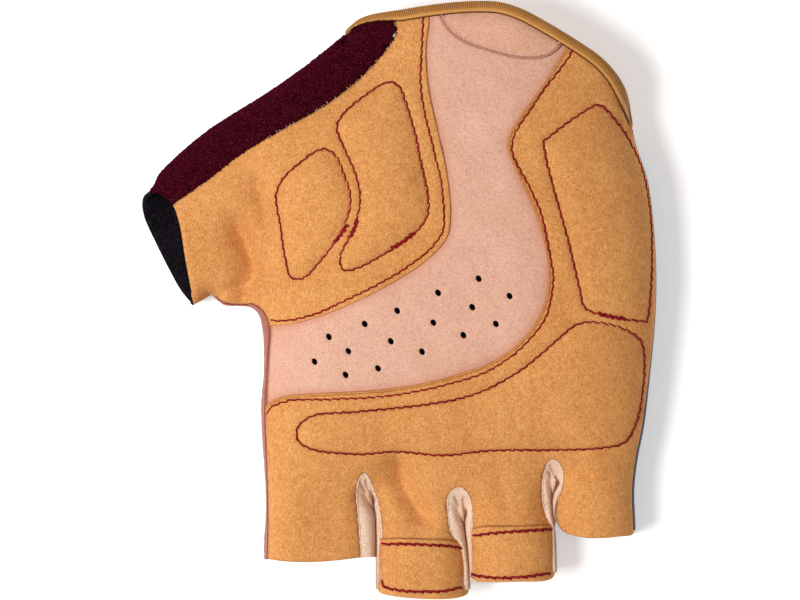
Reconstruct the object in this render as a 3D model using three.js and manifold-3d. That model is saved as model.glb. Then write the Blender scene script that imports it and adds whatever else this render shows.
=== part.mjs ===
// A fingerless cycling glove for the right hand, lying on its back with the palm up.
// Millimetres. +Z is up, +Y runs from the fingers to the wrist, the thumb points to -X.
import * as THREE from 'three';
import { mergeVertices } from 'three/addons/utils/BufferGeometryUtils.js';
import Module from 'manifold-3d';

const wasm = await Module();
wasm.setup();

// Driving dimensions
const WALL = 1.6; // suede and stretch fabric, with the seam allowance behind them
const INSET = 0.6; // how far the pink palm lies below the suede that laps over it
const GAP = 0.3; // clear space between two pieces that meet at a seam
const FOLD_Z = 8; // height of the side folds, where the palm side turns into the back
const SPLIT_Z = 9; // height of the seam between palm side and back along the outer side
const STATION = 7; // spacing of the cross-sections along a form
const SEAM_STEP = 5; // spacing of the points along a seam
const BINDING_WIDTH = 2.7;
const BINDING_PROUD = 0.5; // the binding wraps the edge, so it stands proud on both sides
const PATCH_THICKNESS = 1;
const HOLE_RADIUS = 0.75;
const HOLE_SIDES = 8;
const GUSSET_RISE = 8.06; // half height of the wedge that marks off the salmon strip, at its outer face
const GUSSET_REACH = 26; // from the wedge's edge to its outer face
const GUSSET_AXIS_X = -18; // middle of the index finger
const GUSSET_AXIS_Y = 14; // middle of the thumb, over the crotch
const GUSSET_BEND_X = -33;
const GUSSET_BEND_Y = -3;
const GUSSET_TIP_X = -46.5;
const WEDGE_EDGE = 2; // a wedge's sharp edge moves this many times as far as its faces when it grows
const TAB_THICKNESS = 1;
const TAB_LIP = 2.1; // how far a pull tab folds past the end of its finger
const TAB_MARGIN = 2; // how far the block that selects a tab runs past the sides of its finger
const PAD_HEIGHT = 1.5;
const PAD_RIM = 0.02; // a pad's edge stands this far over the suede, so that the two join cleanly
const PAD_ROOT = 0.9; // how deep a pad's foot reaches into the wall below it
const PAD_EXTRA_RUNGS = 3; // rungs of a pad's ladder over the number of its points
const RESTING = 0.89; // share of a section's depth at which the back lies flat on the surface
const REACH = 120; // half size of the blocks that only cut or select
const WELD = 1e-4; // points closer than this are one

// The glove is filled by six forms, each a row of cross-sections.
// at: place along the form, left and right: its sides, top and base: its highest and lowest level
const PALM_ROWS = [
  { at: 82, left: -15, right: 56.5, top: 20, base: 3 },
  { at: 70, left: -15, right: 57, top: 21.5, base: 2.5 },
  { at: 58, left: -17, right: 57.6, top: 23.5, base: 1.8 },
  { at: 46, left: -21, right: 58, top: 25.5, base: 1.1 },
  { at: 39, left: -23, right: 59.1, top: 26, base: 0.8 },
  { at: 30, left: -26, right: 62, top: 26.5, base: 0.3 },
  { at: 18, left: -29, right: 63.6, top: 26.5, base: 0 },
  { at: 6, left: -32, right: 64.3, top: 26, base: 0 },
  { at: -8, left: -34.1, right: 63.7, top: 24.6, base: 0 },
  { at: -20, left: -34.4, right: 62.5, top: 22.8, base: 0 },
  { at: -31, left: -34.7, right: 61.2, top: 20.8, base: 0 },
  { at: -40, left: -34.2, right: 59.5, top: 18.9, base: 0 },
  { at: -45, left: -33.4, right: 58.6, top: 17.2, base: 0.2 },
  { at: -49, left: -31, right: 56.6, top: 13, base: 3 },
  { at: -50.5, left: -28, right: 54, top: 10, base: 6 },
];
const THUMB_ROWS = [
  { at: -9, left: -13.5, right: 15, top: 14.6, base: 0.6 },
  { at: 0, left: -15.3, right: 15.4, top: 15, base: 0.4 },
  { at: 5, left: -18.2, right: 14.9, top: 15.5, base: 0.3 },
  { at: 9.5, left: -20.7, right: 19.4, top: 16.3, base: 0.2 },
  { at: 14, left: -22.4, right: 27, top: 17.4, base: 0.2 },
  { at: 20, left: -24.3, right: 29.5, top: 19, base: 0.2 },
  { at: 28, left: -25.9, right: 30, top: 21, base: 0.2 },
  { at: 38, left: -27.9, right: 30, top: 22.8, base: 0.2 },
  { at: 50, left: -31.2, right: 27, top: 23.6, base: 0.4 },
  { at: 60, left: -35, right: 22, top: 21.5, base: 1.5 },
  { at: 67, left: -36.5, right: 14, top: 15, base: 4 },
  { at: 70, left: -34, right: 6, top: 10, base: 6 },
];
const INDEX_ROWS = [
  { at: -74, left: -34, right: -6.3, top: 15.8, base: 0.2 },
  { at: -62, left: -34.1, right: -6.3, top: 16, base: 0 },
  { at: -53, left: -33.7, right: -6.5, top: 16.8, base: 0 },
  { at: -44, left: -34, right: -6.9, top: 17.8, base: 0 },
  { at: -32, left: -33.4, right: -6, top: 18.2, base: 0.3 },
  { at: -26, left: -30, right: -9, top: 15, base: 2 },
];
const MIDDLE_ROWS = [
  { at: -80, left: -5.7, right: 17.2, top: 16.4, base: 0.2 },
  { at: -71, left: -5.9, right: 17.3, top: 16.7, base: 0 },
  { at: -61, left: -5.8, right: 16.3, top: 17.2, base: 0 },
  { at: -53, left: -6.1, right: 15.6, top: 17.8, base: 0 },
  { at: -44, left: -6.4, right: 15.8, top: 18.2, base: 0 },
  { at: -32, left: -6, right: 15.5, top: 18.4, base: 0.3 },
  { at: -26, left: -3, right: 12, top: 15, base: 2 },
];
const RING_ROWS = [
  { at: -77, left: 17.9, right: 38.9, top: 16.2, base: 0.2 },
  { at: -68, left: 17.8, right: 38.9, top: 16.4, base: 0 },
  { at: -61, left: 17, right: 38.7, top: 16.8, base: 0 },
  { at: -53, left: 16.1, right: 37.9, top: 17.4, base: 0 },
  { at: -44, left: 16.4, right: 38.4, top: 18, base: 0 },
  { at: -32, left: 16.5, right: 38.5, top: 18.4, base: 0.3 },
  { at: -26, left: 20, right: 35, top: 15, base: 2 },
];
const LITTLE_ROWS = [
  { at: -67, left: 39.3, right: 59, top: 15.6, base: 0.2 },
  { at: -58, left: 39.3, right: 59.1, top: 15.9, base: 0 },
  { at: -50, left: 38.5, right: 58.8, top: 16.6, base: 0 },
  { at: -43, left: 39, right: 59.2, top: 17.4, base: 0 },
  { at: -32, left: 39, right: 60.2, top: 18, base: 0.3 },
  { at: -26, left: 42, right: 57, top: 15, base: 2 },
];

// Where the thumb's form stands: the middle of its open end, and the direction to the palm
const THUMB_PLACE = { x: -57, y: 13.2, turn: Math.atan2(0.357, 0.934) - Math.PI / 2 };
const HAND_PLACE = { x: 0, y: 0, turn: 0 };
// power: how square a cross-section is; front and back: how many facets span its two sides
const FORMS = {
  palm: { place: HAND_PLACE, rows: PALM_ROWS, power: 3.1, front: 15, back: 10 },
  thumb: { place: THUMB_PLACE, rows: THUMB_ROWS, power: 2.6, front: 12, back: 8 },
  index: { place: HAND_PLACE, rows: INDEX_ROWS, power: 2.6, front: 8, back: 6 },
  middle: { place: HAND_PLACE, rows: MIDDLE_ROWS, power: 2.6, front: 8, back: 6 },
  ring: { place: HAND_PLACE, rows: RING_ROWS, power: 2.6, front: 8, back: 6 },
  little: { place: HAND_PLACE, rows: LITTLE_ROWS, power: 2.6, front: 8, back: 6 },
};
// Creases of the palm side, as valleys along straight stretches in plan
const FOLDS = [
  { from: [-41, 17], to: [-38.5, 6], depth: 1.6, width: 3.2 },
  { from: [-38.5, 6], to: [-41.5, 0], depth: 1.5, width: 3 },
  { from: [-35.8, 29], to: [-33.5, 20], depth: 0.8, width: 3 },
  { from: [-1.5, -41], to: [5, -52], depth: 1, width: 3 },
];

// Edges and seams in plan, as [x, y]
const WRIST_RIM = [
  [-13.8, 67.2], [-10.5, 70.2], [0, 72.6], [11, 74.2], [20.5, 74.8], [30, 73], [43, 65.6], [50, 61],
  [55.2, 55], [57.6, 49.4], [60, 46.5], [63, 44.5],
];
const BACK_RIM = [
  [63, 46.5], [59.5, 45.5], [57, 42], [53.5, 39.8], [47, 39], [38, 42], [25, 48], [8, 56], [-5, 62],
  [-13.8, 67.2],
];
const THUMB_FRONT = [
  [-68, 31], [-62.5, 27.5], [-56.9, 23.9], [-55.2, 19.5], [-53.6, 10], [-51.7, -1.1], [-50.5, -8],
];
const THUMB_BACK = [
  [-66, 33], [-62.5, 27.5], [-64.2, 23.5], [-61.2, 15.2], [-56.5, 5.8], [-51.7, -1.1], [-48, -7],
];
const WIPE_SEAM = [
  [-3.5, 74], [-0.8, 67.6], [-3.2, 62.5], [-12.5, 53.1], [-28.8, 42.9], [-40, 36.2], [-58.5, 22.5],
];
const THENAR_SEAM = [
  [7.8, 76], [6.4, 61], [7.2, 52.5], [9.5, 41.8], [11.8, 31], [12.6, 21.5], [11.6, 15.5], [6.8, 10],
  [-3.8, 3.2], [-15, -2.2], [-25, -5.6], [-38, -6.8],
];
const PALM_SEAM = [
  [45.5, 70], [36.2, 54.5], [29.8, 45.5], [26.8, 39.5], [29, 31.8], [33.5, 22], [36, 13.8], [36.9, 6],
  [36, -0.5], [32.5, -7.5], [25, -14.2], [12.5, -19.1], [-2.5, -22.1], [-17.5, -23.1], [-30, -24],
  [-38, -27.5],
];
const PATCH_EDGE = [[9, 73], [11, 69], [14, 65.5], [20, 62.5], [28, 60.4], [34, 60], [38, 61.3], [43, 66.5]];
const PATCH_STEP = 3;
const THUMB_BASE_SEAM = [[-27, 46], [-31, 36], [-34.5, 22], [-37, 8], [-38, -8]];
// Points well outside the glove that close the area beside each seam
const BESIDE = {
  wipe: [[-90, 5], [-90, 90]],
  thenar: [[-90, -7], [-90, 90]],
  palm: [[-45, -90], [90, -90], [90, 80]],
  thumb: [[-90, -20], [-90, 60]],
};
const HOLES = [
  [19.6, 5.3], [9.5, 1.8], [-0.7, -2.7], [-8.8, -6], [-17.8, -9.2], [27.3, 1], [18, -1.8], [8.3, -5.7],
  [-2.3, -10.3], [-12.9, -12.8], [-21.4, -15.4], [23.9, -6], [15.8, -8.8], [5.5, -12.9], [-5.5, -17.1],
  [-13.6, -18.7],
];
// left and right: how far each finger's end cut runs, end: its y, tab: where its pull tab starts
const FINGERS = {
  index: { left: -40, right: -6.1, end: -65.2 },
  middle: { left: -6.1, right: 17.5, end: -72.3, tab: -59.6 },
  ring: { left: 17.5, right: 39.1, end: -68.1, tab: -56.2 },
  little: { left: 39.1, right: 70, end: -59.4 },
};
// A fourchette is the part of two neighbouring stalls inside a four-sided bar between their axes.
// lean: how far the bar's edge leans to one side, rise: its half height, web: where it starts
const FOURCHETTES = [
  { name: 'fourchette_index_middle', from: -20, slit: -6.4, to: 5.4, lean: -2.6, rise: 9, web: -42.5 },
  { name: 'fourchette_middle_ring', from: 5.4, slit: 16.6, to: 28, lean: -0.8, rise: 8.4, web: -45.5 },
  { name: 'fourchette_ring_little', from: 28, slit: 38.9, to: 49, lean: -0.2, rise: 8.6, web: -40.5 },
];
// The pads' two long sides in plan, from one end to the other, point for point
const PADS = {
  thumb: {
    panel: 'thenar_panel',
    one: [
      [-19, 37.4], [-24.5, 34.4], [-29.3, 30], [-30.8, 26], [-29.6, 17], [-28.6, 10], [-27.3, 6.2],
      [-26, 5.2],
    ],
    two: [
      [-18, 37.4], [-15.8, 35.6], [-13.8, 31.2], [-12.3, 25], [-14.2, 18], [-18.8, 11], [-22.4, 6.6],
      [-24.4, 5.4],
    ],
  },
  thenar: {
    panel: 'thenar_panel',
    one: [
      [-3.2, 54.3], [-9.5, 50.6], [-15, 46], [-15.4, 41], [-12.4, 34.5], [-10.3, 28], [-10.2, 22],
      [-12.4, 16.4], [-14.8, 11], [-13.6, 7.6],
    ],
    two: [
      [-1.8, 54.2], [0.6, 52], [2.4, 46.5], [4, 40.5], [5.4, 34.2], [6.9, 27], [7, 21.2],
      [3, 16.2], [-4.6, 11.2], [-10.5, 7.9],
    ],
  },
  heel: {
    panel: 'palm_panel',
    one: [
      [44.6, 46.1], [40, 42.9], [35.8, 39.4], [37.2, 31], [39.3, 24], [41.3, 16.5], [43.2, 9], [45, 2],
      [46.4, -2.2], [50, -3.6],
    ],
    two: [
      [49.5, 48.8], [54, 45], [57, 40.6], [59.4, 35], [61.2, 28], [61.9, 20], [62.1, 11], [61.7, 3],
      [61, -3], [58.4, -5],
    ],
  },
  knuckle: {
    panel: 'palm_panel',
    one: [
      [-25.4, -32.4], [-22, -29.2], [-12, -28], [0, -26.7], [10, -25.6], [19, -23.3], [27, -19.2],
      [34, -14], [40.5, -8.6], [47, -5.5], [54, -6.6],
    ],
    two: [
      [-24.8, -36], [-21, -37.4], [-11, -38.3], [0, -37.9], [10, -38.6], [20, -37.7], [31, -37.6],
      [43, -37.3], [53.5, -36.2], [58, -31.5], [60.2, -14],
    ],
  },
};

const MATERIALS = {
  suede: { color: 0xd99650, roughness: 0.95, metalness: 0 },
  synthetic: { color: 0xe6b8a0, roughness: 0.7, metalness: 0 },
  patch: { color: 0xe4b396, roughness: 0.65, metalness: 0 },
  elastic: { color: 0xbe8637, roughness: 0.8, metalness: 0 },
  terry: { color: 0x470918, roughness: 1, metalness: 0 },
  black: { color: 0x121016, roughness: 0.9, metalness: 0 },
  stretch: { color: 0x16233c, roughness: 0.75, metalness: 0 },
  cream: { color: 0xefd7c6, roughness: 0.7, metalness: 0 },
  salmon: { color: 0xd79f8a, roughness: 0.8, metalness: 0 },
};

// Solids from geometry, and back
function solidOf(geometry) {
  const bare = new THREE.BufferGeometry();
  bare.setAttribute('position', geometry.getAttribute('position'));
  bare.setIndex(geometry.getIndex());
  const merged = mergeVertices(bare, WELD);
  return new wasm.Manifold(new wasm.Mesh({
    numProp: 3,
    vertProperties: new Float32Array(merged.getAttribute('position').array),
    triVerts: new Uint32Array(merged.getIndex().array),
  }));
}

function geometryOf(solid) {
  const mesh = solid.getMesh();
  const geometry = new THREE.BufferGeometry();
  geometry.setAttribute('position', new THREE.BufferAttribute(new Float32Array(mesh.vertProperties), 3));
  geometry.setIndex(new THREE.BufferAttribute(new Uint32Array(mesh.triVerts), 1));
  return geometry.toNonIndexed();
}

function block(x0, x1, y0, y1, z0, z1) {
  const geometry = new THREE.BoxGeometry(x1 - x0, y1 - y0, z1 - z0);
  geometry.translate((x0 + x1) / 2, (y0 + y1) / 2, (z0 + z1) / 2);
  return solidOf(geometry);
}

// A smooth line through a few points, with an even step
function smooth(points, step = SEAM_STEP) {
  const curve = new THREE.CatmullRomCurve3(
    points.map(([x, y]) => new THREE.Vector3(x, y, 0)), false, 'centripetal');
  const count = Math.round(curve.getLength() / step);
  return curve.getSpacedPoints(count).map((p) => new THREE.Vector2(p.x, p.y));
}

function area(points) {
  return THREE.ShapeUtils.area(points);
}

// An upright prism over a closed outline in plan
function prism(points, z0 = -REACH, z1 = REACH) {
  const outline = area(points) < 0 ? [...points].reverse() : points;
  const geometry = new THREE.ExtrudeGeometry(new THREE.Shape(outline), {
    depth: z1 - z0,
    bevelEnabled: false,
  });
  geometry.translate(0, 0, z0);
  return solidOf(geometry);
}

// A prism lying along Y, over a closed outline in X and Z
function barAlongY(points, y0, y1) {
  const flat = points.map(([x, z]) => new THREE.Vector2(x, -z));
  const outline = area(flat) < 0 ? flat.reverse() : flat;
  const geometry = new THREE.ExtrudeGeometry(new THREE.Shape(outline), {
    depth: y1 - y0,
    bevelEnabled: false,
  });
  geometry.rotateX(-Math.PI / 2);
  geometry.translate(0, y0, 0);
  return solidOf(geometry);
}

// The same along X, over a closed outline in Y and Z
function barAlongX(points, x0, x1) {
  const outline = points.map(([y, z]) => new THREE.Vector2(y, z));
  if (area(outline) < 0) outline.reverse();
  const geometry = new THREE.ExtrudeGeometry(new THREE.Shape(outline), {
    depth: x1 - x0,
    bevelEnabled: false,
  });
  geometry.rotateX(Math.PI / 2);
  geometry.rotateZ(Math.PI / 2);
  geometry.translate(x0, 0, 0);
  return solidOf(geometry);
}

// The two edges of a ribbon of an even width along a line
function ribbonEdges(line, width) {
  const edges = [[], []];
  line.forEach((point, i) => {
    const before = line[Math.max(i - 1, 0)];
    const after = line[Math.min(i + 1, line.length - 1)];
    const along = after.clone().sub(before).normalize();
    const side = new THREE.Vector2(-along.y, along.x).multiplyScalar(width / 2);
    edges[0].push(point.clone().add(side));
    edges[1].push(point.clone().sub(side));
  });
  return edges;
}

function ribbon(line, width, z0 = -REACH, z1 = REACH) {
  const [one, two] = ribbonEdges(line, width);
  return prism([...one, ...two.reverse()], z0, z1);
}

// Cross-sections
function rowAt(rows, at) {
  const sorted = [...rows].sort((a, b) => a.at - b.at);
  const last = sorted.length - 1;
  let k = sorted.findIndex((row) => row.at >= at);
  k = k < 0 ? last : Math.max(k, 1);
  const [p0, p1, p2, p3] = [k - 2, k - 1, k, k + 1].map((n) => sorted[Math.min(Math.max(n, 0), last)]);
  const t = THREE.MathUtils.clamp((at - p1.at) / (p2.at - p1.at), 0, 1);
  const column = (key) => {
    const span = p2.at - p1.at;
    const slopeIn = p1 === p0 ? 0 : ((p2[key] - p0[key]) / (p2.at - p0.at)) * span;
    const slopeOut = p2 === p3 ? 0 : ((p3[key] - p1[key]) / (p3.at - p1.at)) * span;
    return (2 * t ** 3 - 3 * t ** 2 + 1) * p1[key] + (t ** 3 - 2 * t ** 2 + t) * slopeIn
      + (-2 * t ** 3 + 3 * t ** 2) * p2[key] + (t ** 3 - t ** 2) * slopeOut;
  };
  const base = Math.max(column('base'), 0);
  return { at, left: column('left'), right: column('right'), top: column('top'), base };
}

function foldDepth(x, y) {
  return FOLDS.reduce((sum, { from, to, depth, width }) => {
    const spot = new THREE.Vector3(x, y, 0);
    const line = new THREE.Line3(new THREE.Vector3(...from, 0), new THREE.Vector3(...to, 0));
    const distance = line.closestPointToPoint(spot, true, new THREE.Vector3()).distanceTo(spot);
    return sum + depth * Math.exp(-((distance / width) ** 2));
  }, 0);
}

function toPlan(place, across, along) {
  return new THREE.Vector2(across, along)
    .rotateAround(new THREE.Vector2(), place.turn)
    .add(new THREE.Vector2(place.x, place.y));
}

// One form as a solid, grown by the given amount, or shrunk where it is negative
function formSolid(form, grow) {
  const ends = form.rows.map((row) => row.at);
  const first = Math.min(...ends) - grow;
  const last = Math.max(...ends) + grow;
  const count = Math.ceil((last - first) / STATION);
  const stations = Array.from({ length: count + 1 }, (_, i) => first + ((last - first) * i) / count);
  const around = form.front + form.back;
  const vertices = [];
  for (const at of stations) {
    const row = rowAt(form.rows, THREE.MathUtils.clamp(at, Math.min(...ends), Math.max(...ends)));
    const middle = (row.left + row.right) / 2;
    const half = (row.right - row.left) / 2 + grow;
    for (let i = 0; i < around; i += 1) {
      const turn = i < form.front ? i / form.front : 1 + (i - form.front) / form.back;
      const angle = Math.PI * turn;
      const c = Math.cos(angle);
      const s = Math.sin(angle);
      const across = middle + half * Math.sign(c) * Math.abs(c) ** (2 / form.power);
      const spot = toPlan(form.place, across, at);
      const above = row.top - foldDepth(spot.x, spot.y) + grow - FOLD_Z;
      const roundness = Math.abs(s) ** (2 / form.power);
      const below = (FOLD_Z - row.base + grow) * Math.min(1, roundness / RESTING);
      const height = s > 0 ? FOLD_Z + above * roundness : FOLD_Z - below;
      vertices.push(spot.x, spot.y, height);
    }
  }
  const rings = stations.length;
  const index = [];
  for (let r = 0; r < rings - 1; r += 1) {
    for (let i = 0; i < around; i += 1) {
      const a = r * around + i;
      const b = r * around + ((i + 1) % around);
      index.push(a, a + around, b, b, a + around, b + around);
    }
  }
  for (const [ring, flip] of [[0, false], [rings - 1, true]]) {
    for (let i = 1; i < around - 1; i += 1) {
      const fan = [ring * around, ring * around + i, ring * around + i + 1];
      index.push(...(flip ? fan.reverse() : fan));
    }
  }
  const geometry = new THREE.BufferGeometry();
  geometry.setAttribute('position', new THREE.Float32BufferAttribute(vertices, 3));
  geometry.setIndex(index);
  return solidOf(geometry);
}

function filled(grow) {
  return Object.values(FORMS).map((form) => formSolid(form, grow)).reduce((all, one) => all.add(one));
}

// The highest level of the palm side over a point in plan
function topLevel(x, y) {
  let level = FOLD_Z;
  for (const form of Object.values(FORMS)) {
    const local = new THREE.Vector2(x - form.place.x, y - form.place.y)
      .rotateAround(new THREE.Vector2(), -form.place.turn);
    const ends = form.rows.map((row) => row.at);
    if (local.y < Math.min(...ends) || local.y > Math.max(...ends)) continue;
    const row = rowAt(form.rows, local.y);
    const u = Math.abs(local.x - (row.left + row.right) / 2) / ((row.right - row.left) / 2);
    if (u >= 1) continue;
    const above = row.top - foldDepth(x, y) - FOLD_Z;
    level = Math.max(level, FOLD_Z + above * (1 - u ** form.power) ** (1 / form.power));
  }
  return level;
}

// Trimmed shell
const smoothRim = smooth(WRIST_RIM);
const smoothBackRim = smooth(BACK_RIM);

// The outline inside which the shell is kept, on one side of the glove
function keptOutline(rim, thumbEnd) {
  const fingerEnds = Object.values(FINGERS).reverse()
    .flatMap(({ left, right, end }) => [new THREE.Vector2(right, end), new THREE.Vector2(left, end)]);
  const rimEnd = new THREE.Vector2(FINGERS.little.right, rim[rim.length - 1].y);
  return [new THREE.Vector2(-REACH, REACH), ...rim, rimEnd, ...fingerEnds, ...smooth(thumbEnd).reverse()];
}

const keptFront = prism(keptOutline(smoothRim, THUMB_FRONT), SPLIT_Z, REACH);
const keptBack = prism(keptOutline([...smoothBackRim].reverse(), THUMB_BACK), -REACH, SPLIT_Z);
const kept = keptFront.add(keptBack);

const outer = filled(0);
const inner = filled(-WALL);
const shell = outer.subtract(inner).intersect(kept);

// Wrist binding
// The band's middle line lies half its width inside the rim.
const bandFront = ribbonEdges(smoothRim, BINDING_WIDTH)[1];
const bandBack = ribbonEdges(smoothBackRim, BINDING_WIDTH)[0];
function band(width) {
  return ribbon(bandFront, width, SPLIT_Z, REACH).add(ribbon(bandBack, width, -REACH, SPLIT_Z));
}
const bindingSolid = filled(BINDING_PROUD)
  .subtract(filled(-WALL - BINDING_PROUD))
  .intersect(band(BINDING_WIDTH));
const bandClear = band(BINDING_WIDTH + 2 * GAP);
const cloth = shell.subtract(bandClear);

// Seams. A ribbon as wide as the gap is cut out along each seam, and the pieces lie between them.
const wipeSeam = smooth(WIPE_SEAM);
const thenarSeam = smooth(THENAR_SEAM);
const palmSeam = smooth(PALM_SEAM);
const thumbBaseSeam = smooth(THUMB_BASE_SEAM);

// Everything on one side of a seam
function beside(seam, corners) {
  return prism([...seam, ...corners.map(([x, y]) => new THREE.Vector2(x, y))]);
}

const wipeSide = beside(wipeSeam, BESIDE.wipe);
const thenarSide = beside(thenarSeam, BESIDE.thenar);
const palmSide = beside(palmSeam, BESIDE.palm);
const thumbSide = beside(thumbBaseSeam, BESIDE.thumb);
const aboveSplit = block(-REACH, REACH, -REACH, REACH, SPLIT_Z + GAP / 2, REACH);
const belowSplit = block(-REACH, REACH, -REACH, REACH, -REACH, SPLIT_Z - GAP / 2);

// A triangle across the side fold, with its sharp edge at the middle of the form
function wedge(axis, grow) {
  return [
    [axis + WEDGE_EDGE * grow, FOLD_Z],
    [axis - GUSSET_REACH, FOLD_Z + GUSSET_RISE + grow],
    [axis - GUSSET_REACH, FOLD_Z - GUSSET_RISE - grow],
  ];
}

function gussetWedges(grow) {
  const alongFinger = barAlongY(wedge(GUSSET_AXIS_X, grow), -REACH, GUSSET_BEND_Y + grow);
  const alongCrotch = barAlongX(wedge(GUSSET_AXIS_Y, grow), GUSSET_TIP_X - grow, GUSSET_BEND_X + grow);
  return alongFinger.add(alongCrotch);
}

function fourchetteBar({ from, slit, to, lean, rise, web }, grow) {
  return barAlongY([
    [from - WEDGE_EDGE * grow, FOLD_Z], [slit + lean, FOLD_Z + rise + grow],
    [to + WEDGE_EDGE * grow, FOLD_Z], [slit + lean, FOLD_Z - rise - grow],
  ], -REACH, web + grow);
}

const sideStrips = [...FOURCHETTES.map((row) => fourchetteBar(row, GAP)), gussetWedges(GAP)]
  .reduce((all, one) => all.add(one));
const wipeGap = ribbon(wipeSeam, GAP);
const panels = cloth.subtract(wipeGap).subtract(sideStrips);
const front = panels.subtract(wipeSide).intersect(aboveSplit);
const back = panels.subtract(wipeSide).intersect(belowSplit);

// Pads
// A pad is a ladder of rungs between its two long sides, crowned over the suede.
// Each point of a rung: its share of the way across, and its share of the pad's height
const CROWN = [[0, 0], [0.1, 0.62], [0.28, 1], [0.5, 1.1], [0.72, 1], [0.9, 0.62], [1, 0]];
// The first and second rung from either end reach no more than this share of the height.
const END_CROWN = [0.05, 0.75];

function padSolid({ one, two }) {
  const rungs = one.length + PAD_EXTRA_RUNGS;
  const sides = [one, two].map((side) => new THREE.CatmullRomCurve3(
    side.map(([x, y]) => new THREE.Vector3(x, y, 0))).getPoints(rungs - 1));
  const upper = [];
  const lower = [];
  for (let r = 0; r < rungs; r += 1) {
    const endFactor = END_CROWN[Math.min(r, rungs - 1 - r)] ?? 1;
    for (const [fraction, crown] of CROWN) {
      const spot = sides[0][r].clone().lerp(sides[1][r], fraction);
      const level = topLevel(spot.x, spot.y);
      upper.push(spot.x, spot.y, level + PAD_RIM + PAD_HEIGHT * Math.min(crown, endFactor));
      lower.push(spot.x, spot.y, level - PAD_ROOT);
    }
  }
  const across = CROWN.length;
  const count = rungs * across;
  const index = [];
  const quad = (a, b, c, d) => index.push(a, b, c, a, c, d);
  for (let r = 0; r < rungs - 1; r += 1) {
    for (let i = 0; i < across - 1; i += 1) {
      const a = r * across + i;
      quad(a, a + across, a + across + 1, a + 1);
      quad(count + a, count + a + 1, count + a + across + 1, count + a + across);
    }
    const first = r * across;
    const last = first + across - 1;
    quad(first, count + first, count + first + across, first + across);
    quad(last, last + across, count + last + across, count + last);
  }
  for (let i = 0; i < across - 1; i += 1) {
    const end = (rungs - 1) * across + i;
    quad(i, i + 1, count + i + 1, count + i);
    quad(end, count + end, count + end + 1, end + 1);
  }
  const geometry = new THREE.BufferGeometry();
  geometry.setAttribute('position', new THREE.Float32BufferAttribute([...upper, ...lower], 3));
  geometry.setIndex(index);
  const solid = solidOf(geometry);
  return solid.volume() > 0 ? solid : solidOf(geometry.setIndex(index.reverse()));
}

function withPads(panel, name) {
  return Object.values(PADS)
    .filter((pad) => pad.panel === name)
    .reduce((solid, pad) => solid.add(padSolid(pad).subtract(bandClear)), panel);
}

// Palm side
const thenarPanel = withPads(front.subtract(ribbon(thenarSeam, GAP)).intersect(thenarSide), 'thenar_panel');
const palmPanel = withPads(front.subtract(ribbon(palmSeam, GAP)).intersect(palmSide), 'palm_panel');
const punches = HOLES.map(([x, y]) => {
  const punch = new THREE.CylinderGeometry(HOLE_RADIUS, HOLE_RADIUS, REACH, HOLE_SIDES);
  punch.rotateX(Math.PI / 2);
  punch.translate(x, y, SPLIT_Z + REACH / 2);
  return solidOf(punch);
}).reduce((all, one) => all.add(one));
const centrePanel = front
  .subtract(thenarSide.add(ribbon(thenarSeam, GAP)))
  .subtract(palmSide.add(ribbon(palmSeam, GAP)))
  .intersect(filled(-INSET))
  .subtract(punches);
const patchFoot = -INSET + GAP;
const wristPatch = filled(patchFoot + PATCH_THICKNESS)
  .subtract(filled(patchFoot))
  .intersect(prism(smooth(PATCH_EDGE, PATCH_STEP), SPLIT_Z, REACH))
  .subtract(bandClear)
  .intersect(keptFront);

// Back
const thumbGap = ribbon(thumbBaseSeam, GAP);
const thumbBack = back.intersect(thumbSide).subtract(thumbGap);
const backPanel = back.subtract(thumbSide).subtract(thumbGap);

// Pull tabs, each a band over the palm side of a finger that folds past its end
function pullTab(finger) {
  const form = FORMS[finger];
  const { left, right, end, tab } = FINGERS[finger];
  const x0 = left - TAB_MARGIN;
  const x1 = right + TAB_MARGIN;
  const foot = formSolid(form, GAP);
  const top = formSolid(form, GAP + TAB_THICKNESS);
  const tip = end - GAP - TAB_LIP;
  const plate = top.subtract(foot).intersect(block(x0, x1, tip, tab, SPLIT_Z, REACH));
  const lip = top.subtract(formSolid(form, -WALL)).intersect(block(x0, x1, tip, end - GAP, SPLIT_Z, REACH));
  return plate.add(lip).subtract(sideStrips);
}

const pieces = [
  ['back_panel', backPanel, 'stretch'],
  ['thumb_back_panel', thumbBack, 'black'],
  ['thenar_panel', thenarPanel, 'suede'],
  ['centre_panel', centrePanel, 'synthetic'],
  ['palm_panel', palmPanel, 'suede'],
  ['wrist_patch', wristPatch, 'patch'],
  ['wrist_binding', bindingSolid, 'elastic'],
  ['thumb_wipe', cloth.subtract(wipeGap).intersect(wipeSide), 'terry'],
  ['index_gusset', cloth.subtract(wipeSide).intersect(gussetWedges(0)), 'salmon'],
  ...FOURCHETTES.map((row) => [row.name, cloth.intersect(fourchetteBar(row, 0)), 'cream']),
  ['pull_tab_middle', pullTab('middle'), 'suede'],
  ['pull_tab_ring', pullTab('ring'), 'suede'],
];

const glove = new THREE.Group();
for (const [name, solid, material] of pieces) {
  const mesh = new THREE.Mesh(geometryOf(solid), new THREE.MeshStandardMaterial(MATERIALS[material]));
  mesh.name = name;
  glove.add(mesh);
}

export default glove;
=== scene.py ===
import math

import bpy
import numpy as np
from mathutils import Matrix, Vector
from mathutils.geometry import delaunay_2d_cdt


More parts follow.
